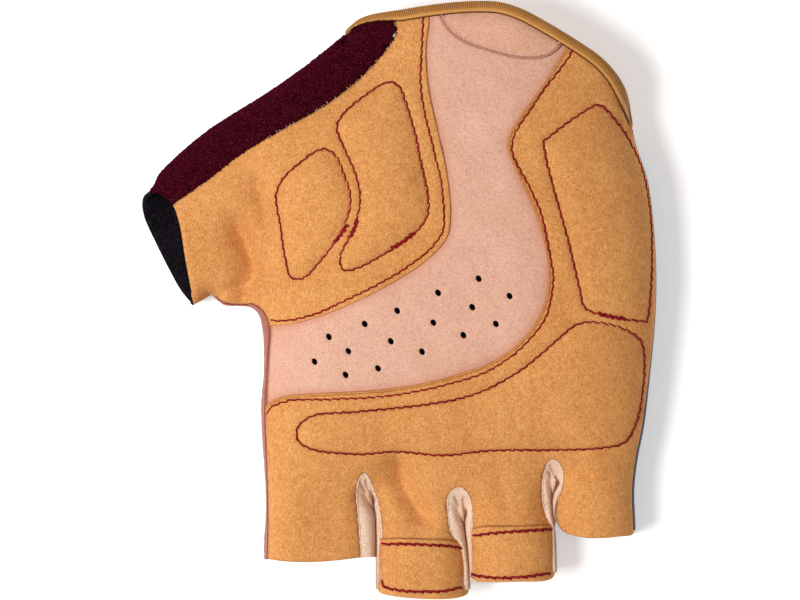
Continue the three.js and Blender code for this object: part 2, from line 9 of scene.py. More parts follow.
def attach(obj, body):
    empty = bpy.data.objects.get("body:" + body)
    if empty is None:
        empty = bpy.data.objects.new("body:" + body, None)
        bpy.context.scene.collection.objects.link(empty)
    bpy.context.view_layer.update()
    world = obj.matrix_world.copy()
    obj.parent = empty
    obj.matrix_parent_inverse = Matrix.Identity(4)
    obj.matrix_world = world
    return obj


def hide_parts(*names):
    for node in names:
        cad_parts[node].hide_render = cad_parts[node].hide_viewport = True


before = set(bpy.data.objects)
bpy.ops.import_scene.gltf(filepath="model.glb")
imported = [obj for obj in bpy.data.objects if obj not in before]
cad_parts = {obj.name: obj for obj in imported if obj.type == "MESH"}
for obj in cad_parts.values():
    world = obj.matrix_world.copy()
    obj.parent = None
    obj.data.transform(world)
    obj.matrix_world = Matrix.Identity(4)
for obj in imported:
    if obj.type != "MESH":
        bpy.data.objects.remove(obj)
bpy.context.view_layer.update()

# A fingerless cycling glove for the right hand, lying on its back. The drawing below is in
# millimetres, in plan, seen from above: +Y runs to the wrist, the thumb points to -X.
MM = 0.001
FOLD_Z = 8.0          # height of the side folds
RESTING = 0.89        # share of the depth at which the back lies flat on the floor
PINK_DROP = 0.26      # the pink palm lies this far below the suede that laps over it
LAP = 1.8             # how far the pink palm runs on below the suede
STITCH = 2.2          # one stitch
THREAD = 0.225        # radius of the sewing thread
GRID = 0.8            # spacing of a panel's points
HOLE_RADIUS = 0.75
RNG = np.random.default_rng(7)


# Lines in plan

SAME_SPOT = 0.12        # points of an outline that lie nearer to each other than this are one


def unit(vectors):
    return vectors / (np.linalg.norm(vectors, axis=-1, keepdims=True) + 1e-12)


def ease(low, high, value):
    t = np.clip((value - low) / (high - low), 0, 1)
    return t * t * (3 - 2 * t)


def lengths(line):
    """How far along a line each of its points lies."""
    return np.concatenate([[0.0], np.cumsum(np.linalg.norm(np.diff(line, axis=0), axis=1))])


def read(line, at, values=None):
    """A line's points, or values given for them, read at some lengths along it."""
    columns = (line if values is None else values).T
    return np.stack([np.interp(at, lengths(line), column) for column in columns], -1)


def resample(line, step=None, count=None):
    """The line again, with its points an even step apart."""
    total = lengths(line)[-1]
    return read(line, np.linspace(0, total, count or max(2, int(round(total / step)) + 1)))


def catmull(points, closed):
    """A centripetal curve through the points, with 16 steps to a span."""
    p = np.array(points, float)
    p = np.vstack([p[-1], p, p[:2]] if closed else [2 * p[0] - p[1], p, 2 * p[-1] - p[-2]])
    out = []
    for k in range(len(p) - 3):
        rows = p[k:k + 4]
        spans = np.sqrt(np.linalg.norm(np.diff(rows, axis=0), axis=1)) + 1e-9
        knots = np.concatenate([[0.0], np.cumsum(spans)])
        t = np.linspace(knots[1], knots[2], 17)[:-1, None]
        for reach in (1, 2):
            rows = [a + (b - a) * (t - knots[i]) / (knots[i + reach] - knots[i])
                    for i, (a, b) in enumerate(zip(rows, rows[1:]))]
        out.append(rows[0] + (rows[1] - rows[0]) * (t - knots[1]) / (knots[2] - knots[1]))
    return np.vstack([*out, p[-2]])


def corners_of(points):
    return [i for i in range(1, len(points)) if points[i] == points[i - 1]]


def smooth(points, step=0.5, closed=False):
    """A smooth line through given points, in even steps. A point given twice is a corner."""
    corners = corners_of(points)
    if not corners:
        return resample(catmull(points, closed), step)
    if closed:
        points = points[corners[0]:] + points[:corners[0]]
    ends = [*corners_of(points), len(points)]
    parts = [resample(catmull(points[s:e], False), step) for s, e in zip([0, *ends], ends)]
    return np.vstack([parts[0]] + [part[1:] for part in parts[1:]])


def measure(points, line):
    """Each point's distance from a line, and the place along the line nearest to it."""
    a, ab = line[:-1], np.diff(line, axis=0)
    square = np.maximum((ab ** 2).sum(1), 1e-12)
    found = []
    for p in np.array_split(points, len(points) // 4000 + 1):
        t = np.clip(((p[:, None] - a) * ab).sum(2) / square, 0, 1)
        gap = ((p[:, None] - a - t[..., None] * ab) ** 2).sum(2)
        k = gap.argmin(1)
        rows = np.arange(len(p))
        found.append([np.sqrt(gap[rows, k]), lengths(line)[k] + t[rows, k] * np.sqrt(square[k])])
    return np.concatenate(found, 1)


def inside(points, outline):
    """Which points lie inside a closed outline."""
    x, y = points.T
    result = np.zeros(len(points), bool)
    for (x0, y0), (x1, y1) in zip(outline, np.roll(outline, -1, axis=0)):
        if y0 != y1:
            result ^= ((y0 > y) != (y1 > y)) & (x < (x1 - x0) * (y - y0) / (y1 - y0) + x0)
    return result


def sideways(line):
    """The unit vectors to the left of a line."""
    d = unit(np.gradient(line, axis=0))
    return np.stack([-d[:, 1], d[:, 0]], 1)


def shifted(line, distance):
    return line + sideways(line) * np.asarray(distance).reshape(-1, 1)


def nearest(line, spot):
    """The number of the point of a line that lies nearest to a spot."""
    return np.linalg.norm(line - np.array(spot), axis=1).argmin()


def between(line, start, end):
    """The stretch of a line from the point nearest to start to the one nearest to end."""
    i, j = nearest(line, start), nearest(line, end)
    return line[i:j + 1] if i <= j else line[j:i + 1][::-1]


def crossing(line, other):
    """The point of a line that lies nearest to another line."""
    return line[measure(line, other)[0].argmin()]


def outline_of(*stretches):
    """Stretches joined end to end into one closed outline with no point twice."""
    joined = np.vstack(stretches)
    keep = [0]
    for i in range(1, len(joined)):
        if np.linalg.norm(joined[i] - joined[keep[-1]]) > SAME_SPOT:
            keep.append(i)
    while np.linalg.norm(joined[keep[-1]] - joined[keep[0]]) < SAME_SPOT:
        keep.pop()
    return joined[keep]


# Drawing

THUMB_SIDE = [
    (-82, 18), (-70, 24.4), (-62.5, 27.5), (-60.5, 31), (-56.2, 35.5), (-48.8, 41.8), (-41.2, 46.8),
    (-32.5, 52.2), (-21.8, 60), (-16.2, 64.6), (-13.8, 67.2), (-14.4, 72), (-15, 88),
]
CROTCH_SIDE = [
    (-72, -9.5), (-60, -4.5), (-51.6, -1.2), (-49.2, 0.1), (-47.2, 1.2), (-46, 0.1), (-44, -1.3),
    (-40, -1.5), (-37, -2), (-35.2, -4.2), (-34.3, -8.8), (-34.1, -17.5), (-34.8, -26.2), (-34.5, -35),
    (-33.8, -45), (-33.6, -52.5), (-34.1, -61.2), (-34, -66), (-34, -90),
]
RIGHT_SIDE = [
    (56.5, 88), (57.2, 60), (58, 44.5), (59, 39.2), (62, 30), (63.5, 18.8), (64.2, 6.2), (63.9, -5),
    (62.5, -20), (61.2, -31.2), (59.5, -40), (58.7, -47.5), (59, -57.5), (59, -90),
]
SLITS = [
    [(-6, -90), (-6, -64.3), (-6.07, -57.5), (-6.45, -53), (-7.3, -50.2), (-7.75, -49.2), (-7.25, -50.3),
     (-6.4, -53), (-6.08, -57.5), (-6.05, -64.2), (-6.05, -90)],
    [(17.55, -90), (17.55, -72.3), (17.2, -66.2), (16.7, -61.2), (16.17, -57.5), (15.75, -54),
     (15.72, -52.8), (15.8, -54), (16.18, -57.5), (16.65, -61.2), (17.15, -66.2), (17.5, -72.3),
     (17.5, -90)],
    [(39.1, -90), (39.1, -63.8), (38.78, -57.5), (38.15, -53), (37.95, -50), (38.25, -47.5), (38.9, -45.6),
     (38.35, -47.6), (38, -50), (38.2, -53), (38.77, -57.5), (39.05, -63.8), (39.05, -90)],
]
CREAM_EDGES = [
    [(-9.6, -64.3), (-9.8, -61), (-10.1, -57.5), (-10.5, -52.5), (-10.75, -47.5), (-10.2, -45),
     (-9.25, -43.5), (-8.5, -43.4), (-8, -44.25), (-7.2, -45.8), (-6.25, -48.5), (-5.3, -51.7), (-4.8, -55),
     (-4.55, -58.7), (-4.8, -64), (-5, -72.3)],
    [(15.7, -72.3), (15.4, -66), (14.7, -62), (13.8, -59.6), (12.75, -57.8), (12.2, -55), (11.95, -52),
     (11.85, -50.1), (12.3, -48.6), (13.25, -47.5), (14.4, -46.9), (15.7, -47.2), (16.6, -48),
     (17.25, -49.1), (17.8, -51), (18, -53), (18.1, -57), (18.3, -62), (18.5, -68.1)],
    [(37.9, -68.1), (37.8, -62), (37.5, -56), (36.9, -54.5), (36.3, -53), (35.7, -49.5), (35.7, -45.2),
     (36.6, -41.5), (37.5, -40.3), (38.5, -40), (39.3, -40.4), (40.3, -42), (40.7, -44.2), (40.4, -46.5),
     (39.8, -48.8), (39.2, -51), (38.95, -53), (39.1, -55.4)],
]
wrist_rim = smooth([
    (-13.8, 67.2), (-12.5, 68.5), (-10.5, 70.2), (-7.5, 71.4), (0, 72.6), (7.5, 73.8), (15, 74.6),
    (20.5, 74.8), (25, 74.5), (30, 73), (35, 70.5), (45, 64.5), (50, 61), (53, 58), (55.2, 55), (57, 51.2),
    (57.9, 47.5), (58, 44.5),
])
back_rim = smooth([
    (58, 44.5), (56.4, 41.4), (53.5, 39.6), (47, 39.2), (38, 42), (25, 48), (8, 56), (-5, 62),
    (-13.8, 67.2),
])
wipe_edge = smooth([
    (-1.6, 71), (-1.5, 69.5), (-0.8, 67.6), (-1.4, 65.4), (-2.8, 63.2), (-7.5, 57.8), (-12.5, 53.1),
    (-20, 47.8), (-28.8, 42.9), (-40, 36.2), (-48.8, 29.5), (-57.2, 23.6),
])
wipe_back_edge = smooth([(-6.5, 62.8), (-16, 55), (-30, 46), (-43, 38.2), (-54, 31), (-62.2, 27.2)])
thenar_edge = smooth([
    (7.4, 73.5), (7.3, 70), (6.5, 62), (7.2, 52.5), (9.5, 41.8), (11.8, 31), (12.6, 21.5), (11.8, 15.8),
    (6.8, 10), (-3.8, 3.2), (-15, -2.2), (-25, -5.6), (-33.2, -6.6),
])
palm_edge = smooth([
    (43.6, 66), (41.2, 62.5), (36.2, 54.5), (29.8, 45.5), (27, 40.8), (26.8, 37.5), (29, 31.8), (33.5, 22),
    (36, 13.8), (36.9, 6.2), (36, -0.5), (32.5, -7.5), (25, -14.2), (12.5, -19.1), (-2.5, -22.1),
    (-17.5, -23.1), (-27.5, -23.8), (-31.5, -24.9), (-34, -26.6),
])
gusset_edge = smooth([
    (-47.2, 1.25), (-46, 0.95), (-44.2, -0.4), (-40, -1), (-37, -0.85), (-34.8, -2), (-33.1, -4.5),
    (-32.5, -8), (-32.8, -13), (-33.3, -21.2), (-33.6, -28), (-33.3, -37.5), (-32.9, -50), (-32.9, -60),
    (-33.1, -64.8),
])
thumb_front = smooth([
    (-62.5, 27.5), (-60, 26.5), (-56.9, 23.9), (-55.2, 19.5), (-53.6, 10), (-52.2, 2.5), (-51.6, -1.2),
])
thumb_back = smooth([
    (-62.5, 27.5), (-64.3, 25.9), (-64.7, 23.6), (-64, 20.3), (-61.6, 15), (-57.9, 7.6), (-54.9, 2.3),
    (-51.8, -1.4),
])
thumb_base = smooth([(-33.5, 44.3), (-34.6, 34), (-36, 22), (-37.4, 8), (-38, -1.4)])
index_end = smooth([(-33.1, -64.8), (-28.8, -65.3), (-23.8, -65.5), (-17.5, -65.2), (-9.6, -64.3)])
middle_end = smooth([(-5, -72.3), (5, -72.5), (15.7, -72.3)])
ring_end = smooth([(18.5, -68.1), (28, -68.2), (37.9, -68.1)])
little_end = smooth([
    (39.1, -55.4), (40.7, -57.8), (45, -59.2), (50, -59.5), (55, -59.1), (58.1, -58.7), (58.8, -57.7),
])
patch_edge = smooth([
    (8.6, 72.6), (9.8, 70.4), (12.2, 66.9), (16.2, 64), (22, 62), (28, 60.4), (33, 60), (37, 60.8),
    (40.2, 63.3), (42.2, 66.6),
])
thenar_stitch = smooth([
    (5.9, 71.2), (5.4, 62), (5.1, 54), (6, 47.5), (8.6, 36.5), (10.3, 29), (11, 19.5), (10.6, 16.8),
    (7, 12.2), (1.2, 7.8), (-6.2, 3.5), (-13.8, -0.2), (-21.2, -3.5), (-28.8, -5.2), (-32.2, -5.1),
])
palm_stitch = smooth([
    (43.6, 63.1), (40.6, 58.4), (36.2, 52.9), (32.8, 47.8), (28.2, 40.5), (28, 36.6), (32.5, 27.6),
    (35.2, 21.2), (37, 13.2), (38.1, 6.4), (37.8, 1.8), (36.2, -4.5), (31.2, -11), (27.5, -14.2),
    (21.2, -18.1), (8.8, -21.8), (-2.5, -23.9), (-17.5, -24.8), (-27.5, -25.1), (-32.4, -27),
    (-33.2, -28.6),
])
# A pad's outline is its line of stitches. A point given twice is a corner.
PADS = {
    "thenar": [
        (-2.5, 54.4), (0, 53), (1.2, 50), (3.4, 43), (5.1, 35), (7.1, 24.8), (6.6, 20.5), (3.2, 16.2),
        (-3.8, 11.5), (-10.8, 7.8), (-14.2, 7.5), (-14.9, 11), (-12, 17), (-10, 24.2), (-11, 31),
        (-13.8, 37.5), (-15.8, 43), (-14, 46.5), (-8.5, 51.2),
    ],
    "thumb": [
        (-19.5, 37.6), (-16.5, 36.6), (-13.8, 31.2), (-12.2, 24.5), (-14.5, 17), (-20, 9.5), (-24, 5.5),
        (-27.2, 5.6), (-28.6, 10), (-29.8, 18), (-30.9, 26.2), (-29.2, 30.2), (-24.2, 34.8),
    ],
    "heel": [
        (35.6, 39.5), (35.6, 39.5), (36.8, 33.2), (39.2, 24.2), (42.1, 13.8), (44.6, 3.2), (46, -1.9),
        (50.5, -3.8), (57.5, -5), (61.8, -5.4), (61.8, -5.4), (62.5, 0), (62.95, 10), (62.6, 21.2),
        (60.6, 32.6), (57.2, 40), (53.2, 45.6), (49.5, 48.6), (45, 46.4), (40, 42.9),
    ],
    "knuckle": [
        (47.5, -5.4), (55.5, -7.1), (60, -10), (61.1, -14.5), (60.4, -25), (59, -31), (56.2, -35.5),
        (50, -37), (37.5, -37.5), (22.5, -37.6), (11.2, -38.8), (-1.2, -37.9), (-10.5, -38.5),
        (-22.5, -37.1), (-25.4, -35.1), (-25.5, -31.8), (-21.8, -28.9), (-11.2, -27.9), (7.5, -25.9),
        (18.8, -23.4), (30, -17.5), (40, -9.2), (43.8, -6.2),
    ],
}
HOLES = [
    (19.6, 5.3), (9.5, 1.8), (-0.7, -2.7), (-8.8, -6), (-17.8, -9.2), (27.3, 1), (18, -1.8), (8.3, -5.7),
    (-2.3, -10.3), (-12.9, -12.8), (-21.4, -15.4), (23.9, -6), (15.8, -8.8), (5.5, -12.9), (-5.5, -17.1),
    (-13.6, -18.7),
]
TABS = {
    "middle": {
        "top": [(-5.1, -59.6), (0, -59.4), (7, -59.6), (13, -60), (16.2, -61.2)],
        "right": [(16.2, -61.2), (16.05, -64), (15.8, -68), (15.6, -71.4), (17.3, -72.6)],
        "tip": [(17.3, -72.6), (16.8, -73.6), (15.2, -74.3), (11, -74.75), (4, -74.6), (-2.5, -73.9),
                (-5, -73.2), (-5.9, -72)],
        "left": [(-5.9, -72), (-5.1, -70.6), (-5, -66), (-5.1, -59.6)],
        "stitches": [
            [(-4.6, -61), (0, -60.9), (5, -61), (12, -61.4), (15.8, -62.1)],
            [(-4.7, -70.2), (-4, -71.6), (0, -72.5), (6, -72.8), (12, -72.5), (15.2, -71.8)],
        ],
        "stall_end": -72.3,
    },
    "ring": {
        "top": [(17.95, -57.1), (20, -56.5), (25, -56.3), (32, -56.35), (37.4, -56.1)],
        "right": [(37.4, -56.1), (37.9, -58), (37.9, -64), (37.9, -67.2), (38.9, -68)],
        "tip": [(38.9, -68), (38.3, -69.4), (36.4, -70.2), (30, -70.4), (21, -70.5), (18.7, -70.2),
                (17.7, -69.2)],
        "left": [(17.7, -69.2), (17.9, -66), (18, -62), (17.95, -57.1)],
        "stitches": [
            [(18.2, -59), (21, -58.5), (27, -57.9), (33, -57.5), (37.6, -57.3)],
            [(18, -68.6), (20, -69), (25, -69.4), (31, -69.1), (37.4, -68.3)],
        ],
        "stall_end": -68.1,
    },
}

# Levels of the filled glove, over the hand by the place in Y and over the thumb by the place along it.
# reach: how far from a side the surface still rises. power: how square its edge is.
HAND_LEVELS = {
    "at": [-90, -66, -58, -50, -44, -38, -31, -20, -8, 6, 18, 30, 39, 46, 58, 70, 90],
    "top": [16.2, 16.6, 17, 17.7, 18.4, 19.4, 20.9, 23, 24.8, 26, 26.5, 26.5, 26, 25.5, 23.5, 21.5, 20],
    "base": [0, 0, 0, 0, 0, 0, 0, 0, 0, 0, 0.05, 0.3, 0.8, 1.1, 1.8, 2.5, 3],
    "reach": [9.5, 9.5, 9.5, 10, 12.5, 18, 28, 39, *9 * [42]],
    "power": [2, 2, 2, 2.05, 2.2, 2.5, 2.7, *10 * [2.8]],
}
THUMB_LEVELS = {
    "at": [-20, -9, 0, 9.5, 20, 28, 38, 50, 80],
    "top": [14.4, 14.6, 15, 16.2, 18.6, 20.6, 22.6, 24.4, 25],
    "base": 9 * [0.2],
    "reach": [13, 13, 13.5, 14.5, 16, 17, 18, 20, 24],
    "power": 9 * [2.5],
}
THUMB_ORIGIN = np.array([-57.0, 13.2])
THUMB_AXIS = np.array([0.934, 0.357])
WAVE_HEIGHT = 0.35      # height of the long low waves of the cloth
FOLD_POWER = 1.45       # how sharp a fold's bottom is
# Folds of the palm side: the line of the bottom, its depth, and the reach of the walls left and
# right of it
FOLDS = [
    ([(-43, 25), (-40.6, 18.7), (-38, 13), (-36.6, 7.5), (-37.8, 3), (-40, -0.8), (-43, -7)], 6.5, 3.2, 4.4),
    ([(-35.8, 5.2), (-40, 3.6), (-44, 2.2), (-49, 0)], 2.2, 1.3, 2.2),
    ([(-37, 34), (-35, 27), (-33.2, 20), (-33.4, 12)], 3.2, 2, 3.2),
    ([(-2.2, -35.5), (0, -42), (1.1, -46.5), (3.8, -51.2), (10, -58.6)], 4.9, 3, 4.6),
    ([(22.5, -38), (25.2, -46), (28, -55)], 0.7, 2.4, 3),
    ([(39, -47.5), (42, -53.5), (45.6, -60)], 1.3, 1.6, 2.2),
    ([(-13.5, -41), (-15.8, -50), (-18.5, -62)], 0.4, 3, 4),
]
# Creases of the webs between the fingers
WEB_CREASES = [
    ((-10, -45.6), (-7.7, -49.4)), ((-8.5, -45), (-7.8, -48.4)), ((13.6, -49.2), (15.6, -52.8)),
    ((15.9, -49.6), (15.7, -53.2)), ((37.6, -41.4), (39, -44.6)), ((37.3, -43.2), (38.8, -46)),
]


# Surface of the filled glove

SIDES = [smooth(line, 0.4) for line in [THUMB_SIDE, CROTCH_SIDE, RIGHT_SIDE, *SLITS]]
ROUGH_SIDES = [resample(line, 2.5) for line in SIDES]
FOLD_LINES = [(smooth(line, 0.8), *shape) for line, *shape in FOLDS]
NEAR_SIDE = 6.5         # nearer to a side than this, the distance is measured exactly
TURN = 2 * math.pi
WAVES = [
    (TURN / RNG.uniform(11, 34), RNG.uniform(0, math.pi), RNG.uniform(0, 6.28), RNG.uniform(0.5, 1))
    for _ in range(14)
]


def tabled(table, key, at):
    """A column of a table of levels, read smoothly between its rows."""
    xs, ys = np.array(table["at"], float), np.array(table[key], float)
    slope = np.gradient(ys, xs)
    k = np.clip(np.searchsorted(xs, at) - 1, 0, len(xs) - 2)
    span = xs[k + 1] - xs[k]
    t = np.clip((at - xs[k]) / span, 0, 1)
    h = t * t * (3 - 2 * t)
    return (ys[k] * (1 - h) + ys[k + 1] * h
            + span * t * (1 - t) * (slope[k] * (1 - t) - slope[k + 1] * t))


def levels(p, key):
    """A column of the tables at each point, passing over from the hand's table to the thumb's."""
    local = p - THUMB_ORIGIN
    along = local @ THUMB_AXIS
    across = local[:, 0] * THUMB_AXIS[1] - local[:, 1] * THUMB_AXIS[0]
    thumb = (1 - ease(22, 58, along)) * (1 - ease(16, 40, across))
    return (1 - thumb) * tabled(HAND_LEVELS, key, p[:, 1]) + thumb * tabled(THUMB_LEVELS, key, along)


def folded(p, line, depth, left, right):
    """The depth of a fold that fades out at both its ends."""
    result = np.zeros(len(p))
    near = measure(p, line[[0, len(line) // 2, -1]])[0] < 3 * max(left, right) + 2
    gap, along = measure(p[near], line)
    total = lengths(line)[-1]
    aside = (p[near] - read(line, along)) * read(line, along, sideways(line))
    wall = np.where(aside.sum(1) > 0, left, right)
    fade = ease(0, 0.3 * total, along) * ease(0, 0.3 * total, total - along)
    result[near] = depth * fade * np.exp(-(gap / wall) ** FOLD_POWER)
    return result


def unevenness(p):
    """Long low waves of hand-filled cloth, between about -1 and 1."""
    x, y = p.T
    return sum(size * np.sin(rate * (x * math.cos(way) + y * math.sin(way)) + phase)
               for rate, way, phase, size in WAVES) / 5


def side_distance(p):
    """Distance to the nearest side: roughly where it is far, and exactly where it is near."""
    rough = np.min([measure(p, line)[0] for line in ROUGH_SIDES], axis=0)
    near = rough < NEAR_SIDE
    if near.any():
        exact = np.min([measure(p[near], line)[0] for line in SIDES], axis=0)
        rough[near] += (exact - rough[near]) * (1 - ease(4, 6, rough[near]))
    return rough


def rounding(p, distance):
    s = np.clip(distance / levels(p, "reach"), 0, 1)
    power = levels(p, "power")
    return (1 - (1 - s) ** power) ** (1 / power)


def top_level(p, distance=None):
    distance = side_distance(p) if distance is None else distance
    top = levels(p, "top") + WAVE_HEIGHT * unevenness(p) - sum(folded(p, *fold) for fold in FOLD_LINES)
    return FOLD_Z + (top - FOLD_Z) * rounding(p, distance)


def base_level(p, distance=None):
    distance = side_distance(p) if distance is None else distance
    return FOLD_Z - (FOLD_Z - levels(p, "base")) * np.minimum(rounding(p, distance) / RESTING, 1)


# Stitched relief of the suede

PAD_HEIGHTS = {"thenar": 1.7, "thumb": 1.5, "heel": 1.6, "knuckle": 1.9}
PAD_SEAT = 0.9              # below a pad, the panel lies this much lower
WELT = 0.16                 # height of the cloth pushed up around a pad
PUCKER = 0.09               # and of the puckers that its stitches pull
PAD_GROOVE = (0.28, 0.6)    # depth and width of the groove of a pad's stitches
ROW_GROOVE = (0.22, 0.5)    # and of the other rows


def ring(points):
    line = smooth(points, closed=True)
    return np.vstack([line, line[:1]])


pad_lines = {name: ring(points) for name, points in PADS.items()}


def bell(distance, width):
    return np.exp(-(distance / width) ** 2)


def groove(p, line, depth, width):
    gap, along = measure(p, line)
    return -depth * (0.7 + 0.3 * np.cos(TURN * along / STITCH)) * bell(gap, width)


def suede_relief(p):
    """The sewn relief of the two suede panels."""
    relief = np.zeros(len(p))
    for line in pad_lines.values():
        gap, along = measure(p, line)
        pucker = PUCKER * np.cos(TURN * along / STITCH + 0.8 * np.sin(along / 5)) * np.exp(-gap / 1.3)
        around = WELT * bell(gap - 2, math.sqrt(2.5)) + pucker
        relief += np.where(inside(p, line[:-1]), -PAD_SEAT * ease(0.1, 0.8, gap), around)
        relief += groove(p, line, *PAD_GROOVE)
    return relief + groove(p, thenar_stitch, *ROW_GROOVE) + groove(p, palm_stitch, *ROW_GROOVE)


def rolled(gap, radius, depth):
    """How far a cut or folded edge turns down, from its distance inside the edge."""
    s = 1 - np.clip(gap / radius, 0, 1)
    return depth * (np.sqrt(np.maximum(1 - s * s, 0)) - 1)


# Meshes

GRID_RISE = 0.866       # from one row of the grid to the next, as a share of its step
GRID_SHIFT = 0.06       # how far a point of the grid is moved at random, as a share of its step
TAKEN = 0.22            # an extra point this near to an earlier one is left out
HOLE_SIDES = 20
HOLE_ROWS = (0, 0.12, 0.3)
HOLE_AXES = np.array([(0.5, -0.87), (0.87, 0.5)])
STITCH_ROWS = (-0.9, -0.55, -0.25, 0, 0.25, 0.55, 0.9)


def lifted(flat, level):
    return np.column_stack([flat, level])


def hole_rim(centre, margin):
    """A punched hole, pulled a little oval by the stretched cloth."""
    turn = np.linspace(0, TURN, HOLE_SIDES, endpoint=False)
    halves = HOLE_RADIUS * np.array([1.1, 0.9]) + margin
    return centre + np.stack([np.cos(turn), np.sin(turn)], 1) * halves @ HOLE_AXES


def triangulated(outline, step=GRID, holes=(), lines=(), rings=()):
    """Points and triangles that fill an outline. rings: (line, distances, step) of extra rows."""
    low, high = outline.min(0), outline.max(0)
    grid = []
    for i, y in enumerate(np.arange(low[1], high[1], step * GRID_RISE)):
        xs = np.arange(low[0] + (i % 2) * step / 2, high[0], step)
        grid.append(np.stack([xs, np.full(len(xs), y)], 1))
    grid = np.vstack(grid)
    grid += RNG.uniform(-GRID_SHIFT, GRID_SHIFT, grid.shape) * step
    closed = np.vstack([outline, outline[:1]])
    grid = grid[inside(grid, outline)]
    grid = grid[measure(grid, closed)[0] > step * 0.55]
    extra = []
    for line, distances, along_step in [*((line, STITCH_ROWS, 0.55) for line in lines), *rings]:
        even = resample(line, along_step)
        rows = np.vstack([shifted(even, distance) for distance in distances])
        rows = rows[inside(rows, outline)]
        rows = rows[measure(rows, closed)[0] > 0.02]
        grid = grid[measure(grid, even)[0] >= max(map(abs, distances)) + step * 0.35]
        if extra:
            taken = {tuple(q) for q in np.round(np.vstack(extra) / TAKEN).astype(int)}
            rows = rows[[tuple(q) not in taken for q in np.round(rows / TAKEN).astype(int)]]
        extra.append(rows)
    for centre in holes:
        grid = grid[np.linalg.norm(grid - centre, axis=1) > HOLE_RADIUS + 0.5]
    points, loops = [outline, grid, *extra], [list(range(len(outline)))]
    for centre in holes:
        count = sum(map(len, points))
        loops.append(list(range(count, count + HOLE_SIDES)))
        points += [hole_rim(centre, margin) for margin in HOLE_ROWS]
    spots = [Vector(p) for p in np.vstack(points)]
    verts, _, faces, *_ = delaunay_2d_cdt(spots, [], loops, 1, 1e-6)
    verts, faces = np.array([v[:] for v in verts]), np.array([f[:] for f in faces])
    centres = verts[faces].mean(1)
    keep = inside(centres, outline)
    for centre in holes:
        keep &= ~inside(centres, hole_rim(centre, 0))
    used, faces = np.unique(faces[keep], return_inverse=True)
    verts, faces = verts[used], faces.reshape(-1, 3)
    (ax, ay), (bx, by), (cx, cy) = (verts[faces[:, k]].T for k in range(3))
    turned = (bx - ax) * (cy - ay) < (by - ay) * (cx - ax)
    faces[turned] = faces[turned][:, ::-1]
    return verts, faces


def normals_of(verts, faces):
    """Vertex normals of faces with three or four corners."""
    a, b, c, d = (verts[faces[:, k]] for k in (0, 1, 2, -1))
    face = np.cross(c - a, d - b) if faces.shape[1] == 4 else np.cross(b - a, c - a)
    total = np.zeros_like(verts)
    for k in range(faces.shape[1]):
        np.add.at(total, faces[:, k], face)
    return unit(total)


def slab(verts, faces, thickness):
    """A closed wall below an open surface."""
    count = len(verts)
    below = verts - normals_of(verts, faces) * np.broadcast_to(thickness, count).reshape(-1, 1)
    ways = list(zip(faces.T.ravel(), np.roll(faces, -1, 1).T.ravel()))
    shared = set(ways)
    walls = [(b, a, a + count, b + count) for a, b in ways if (b, a) not in shared]
    return np.vstack([verts, below]), [*faces, *(faces[:, ::-1] + count), *walls]


def grid_faces(rows, columns, wrap_rows=False, wrap_columns=False):
    """Four-cornered faces between the points of a grid that is listed row by row."""
    faces = []
    for r in range(rows if wrap_rows else rows - 1):
        here, above = r * columns, (r + 1) % rows * columns
        for c in range(columns if wrap_columns else columns - 1):
            d = (c + 1) % columns
            faces.append((here + c, here + d, above + d, above + c))
    return np.array(faces)


def meshed(name, verts, faces):
    mesh = bpy.data.meshes.new(name)
    mesh.from_pydata(np.asarray(verts).tolist(), [], [tuple(int(i) for i in f) for f in faces])
    return mesh


def placed(name, data):
    obj = bpy.data.objects.new(name, data)
    bpy.context.scene.collection.objects.link(obj)
    return obj


def piece(name, shape, finish, node=None):
    """Adds a piece, given as points in millimetres and faces. node: the solid that it replaces."""
    mesh = meshed(name, shape[0] * MM, shape[1])
    mesh.validate()
    mesh.update()
    mesh.polygons.foreach_set("use_smooth", [True] * len(mesh.polygons))
    mesh.materials.append(finish)
    obj = placed(name, mesh)
    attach(obj, "root")
    if node:
        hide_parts(node)
    return obj


def mark(obj, name, values):
    """Gives each point a number that its material reads. A slab's underside repeats its top."""
    values = np.resize(np.asarray(values, float), len(obj.data.vertices))
    obj.data.attributes.new(name, "FLOAT", "POINT").data.foreach_set("value", values)


def joined(parts):
    """Several lists of points and faces as one."""
    faces, count = [], 0
    for part_verts, part_faces in parts:
        faces += [tuple(i + count for i in f) for f in part_faces]
        count += len(part_verts)
    return np.vstack([part[0] for part in parts]), faces


# Materials

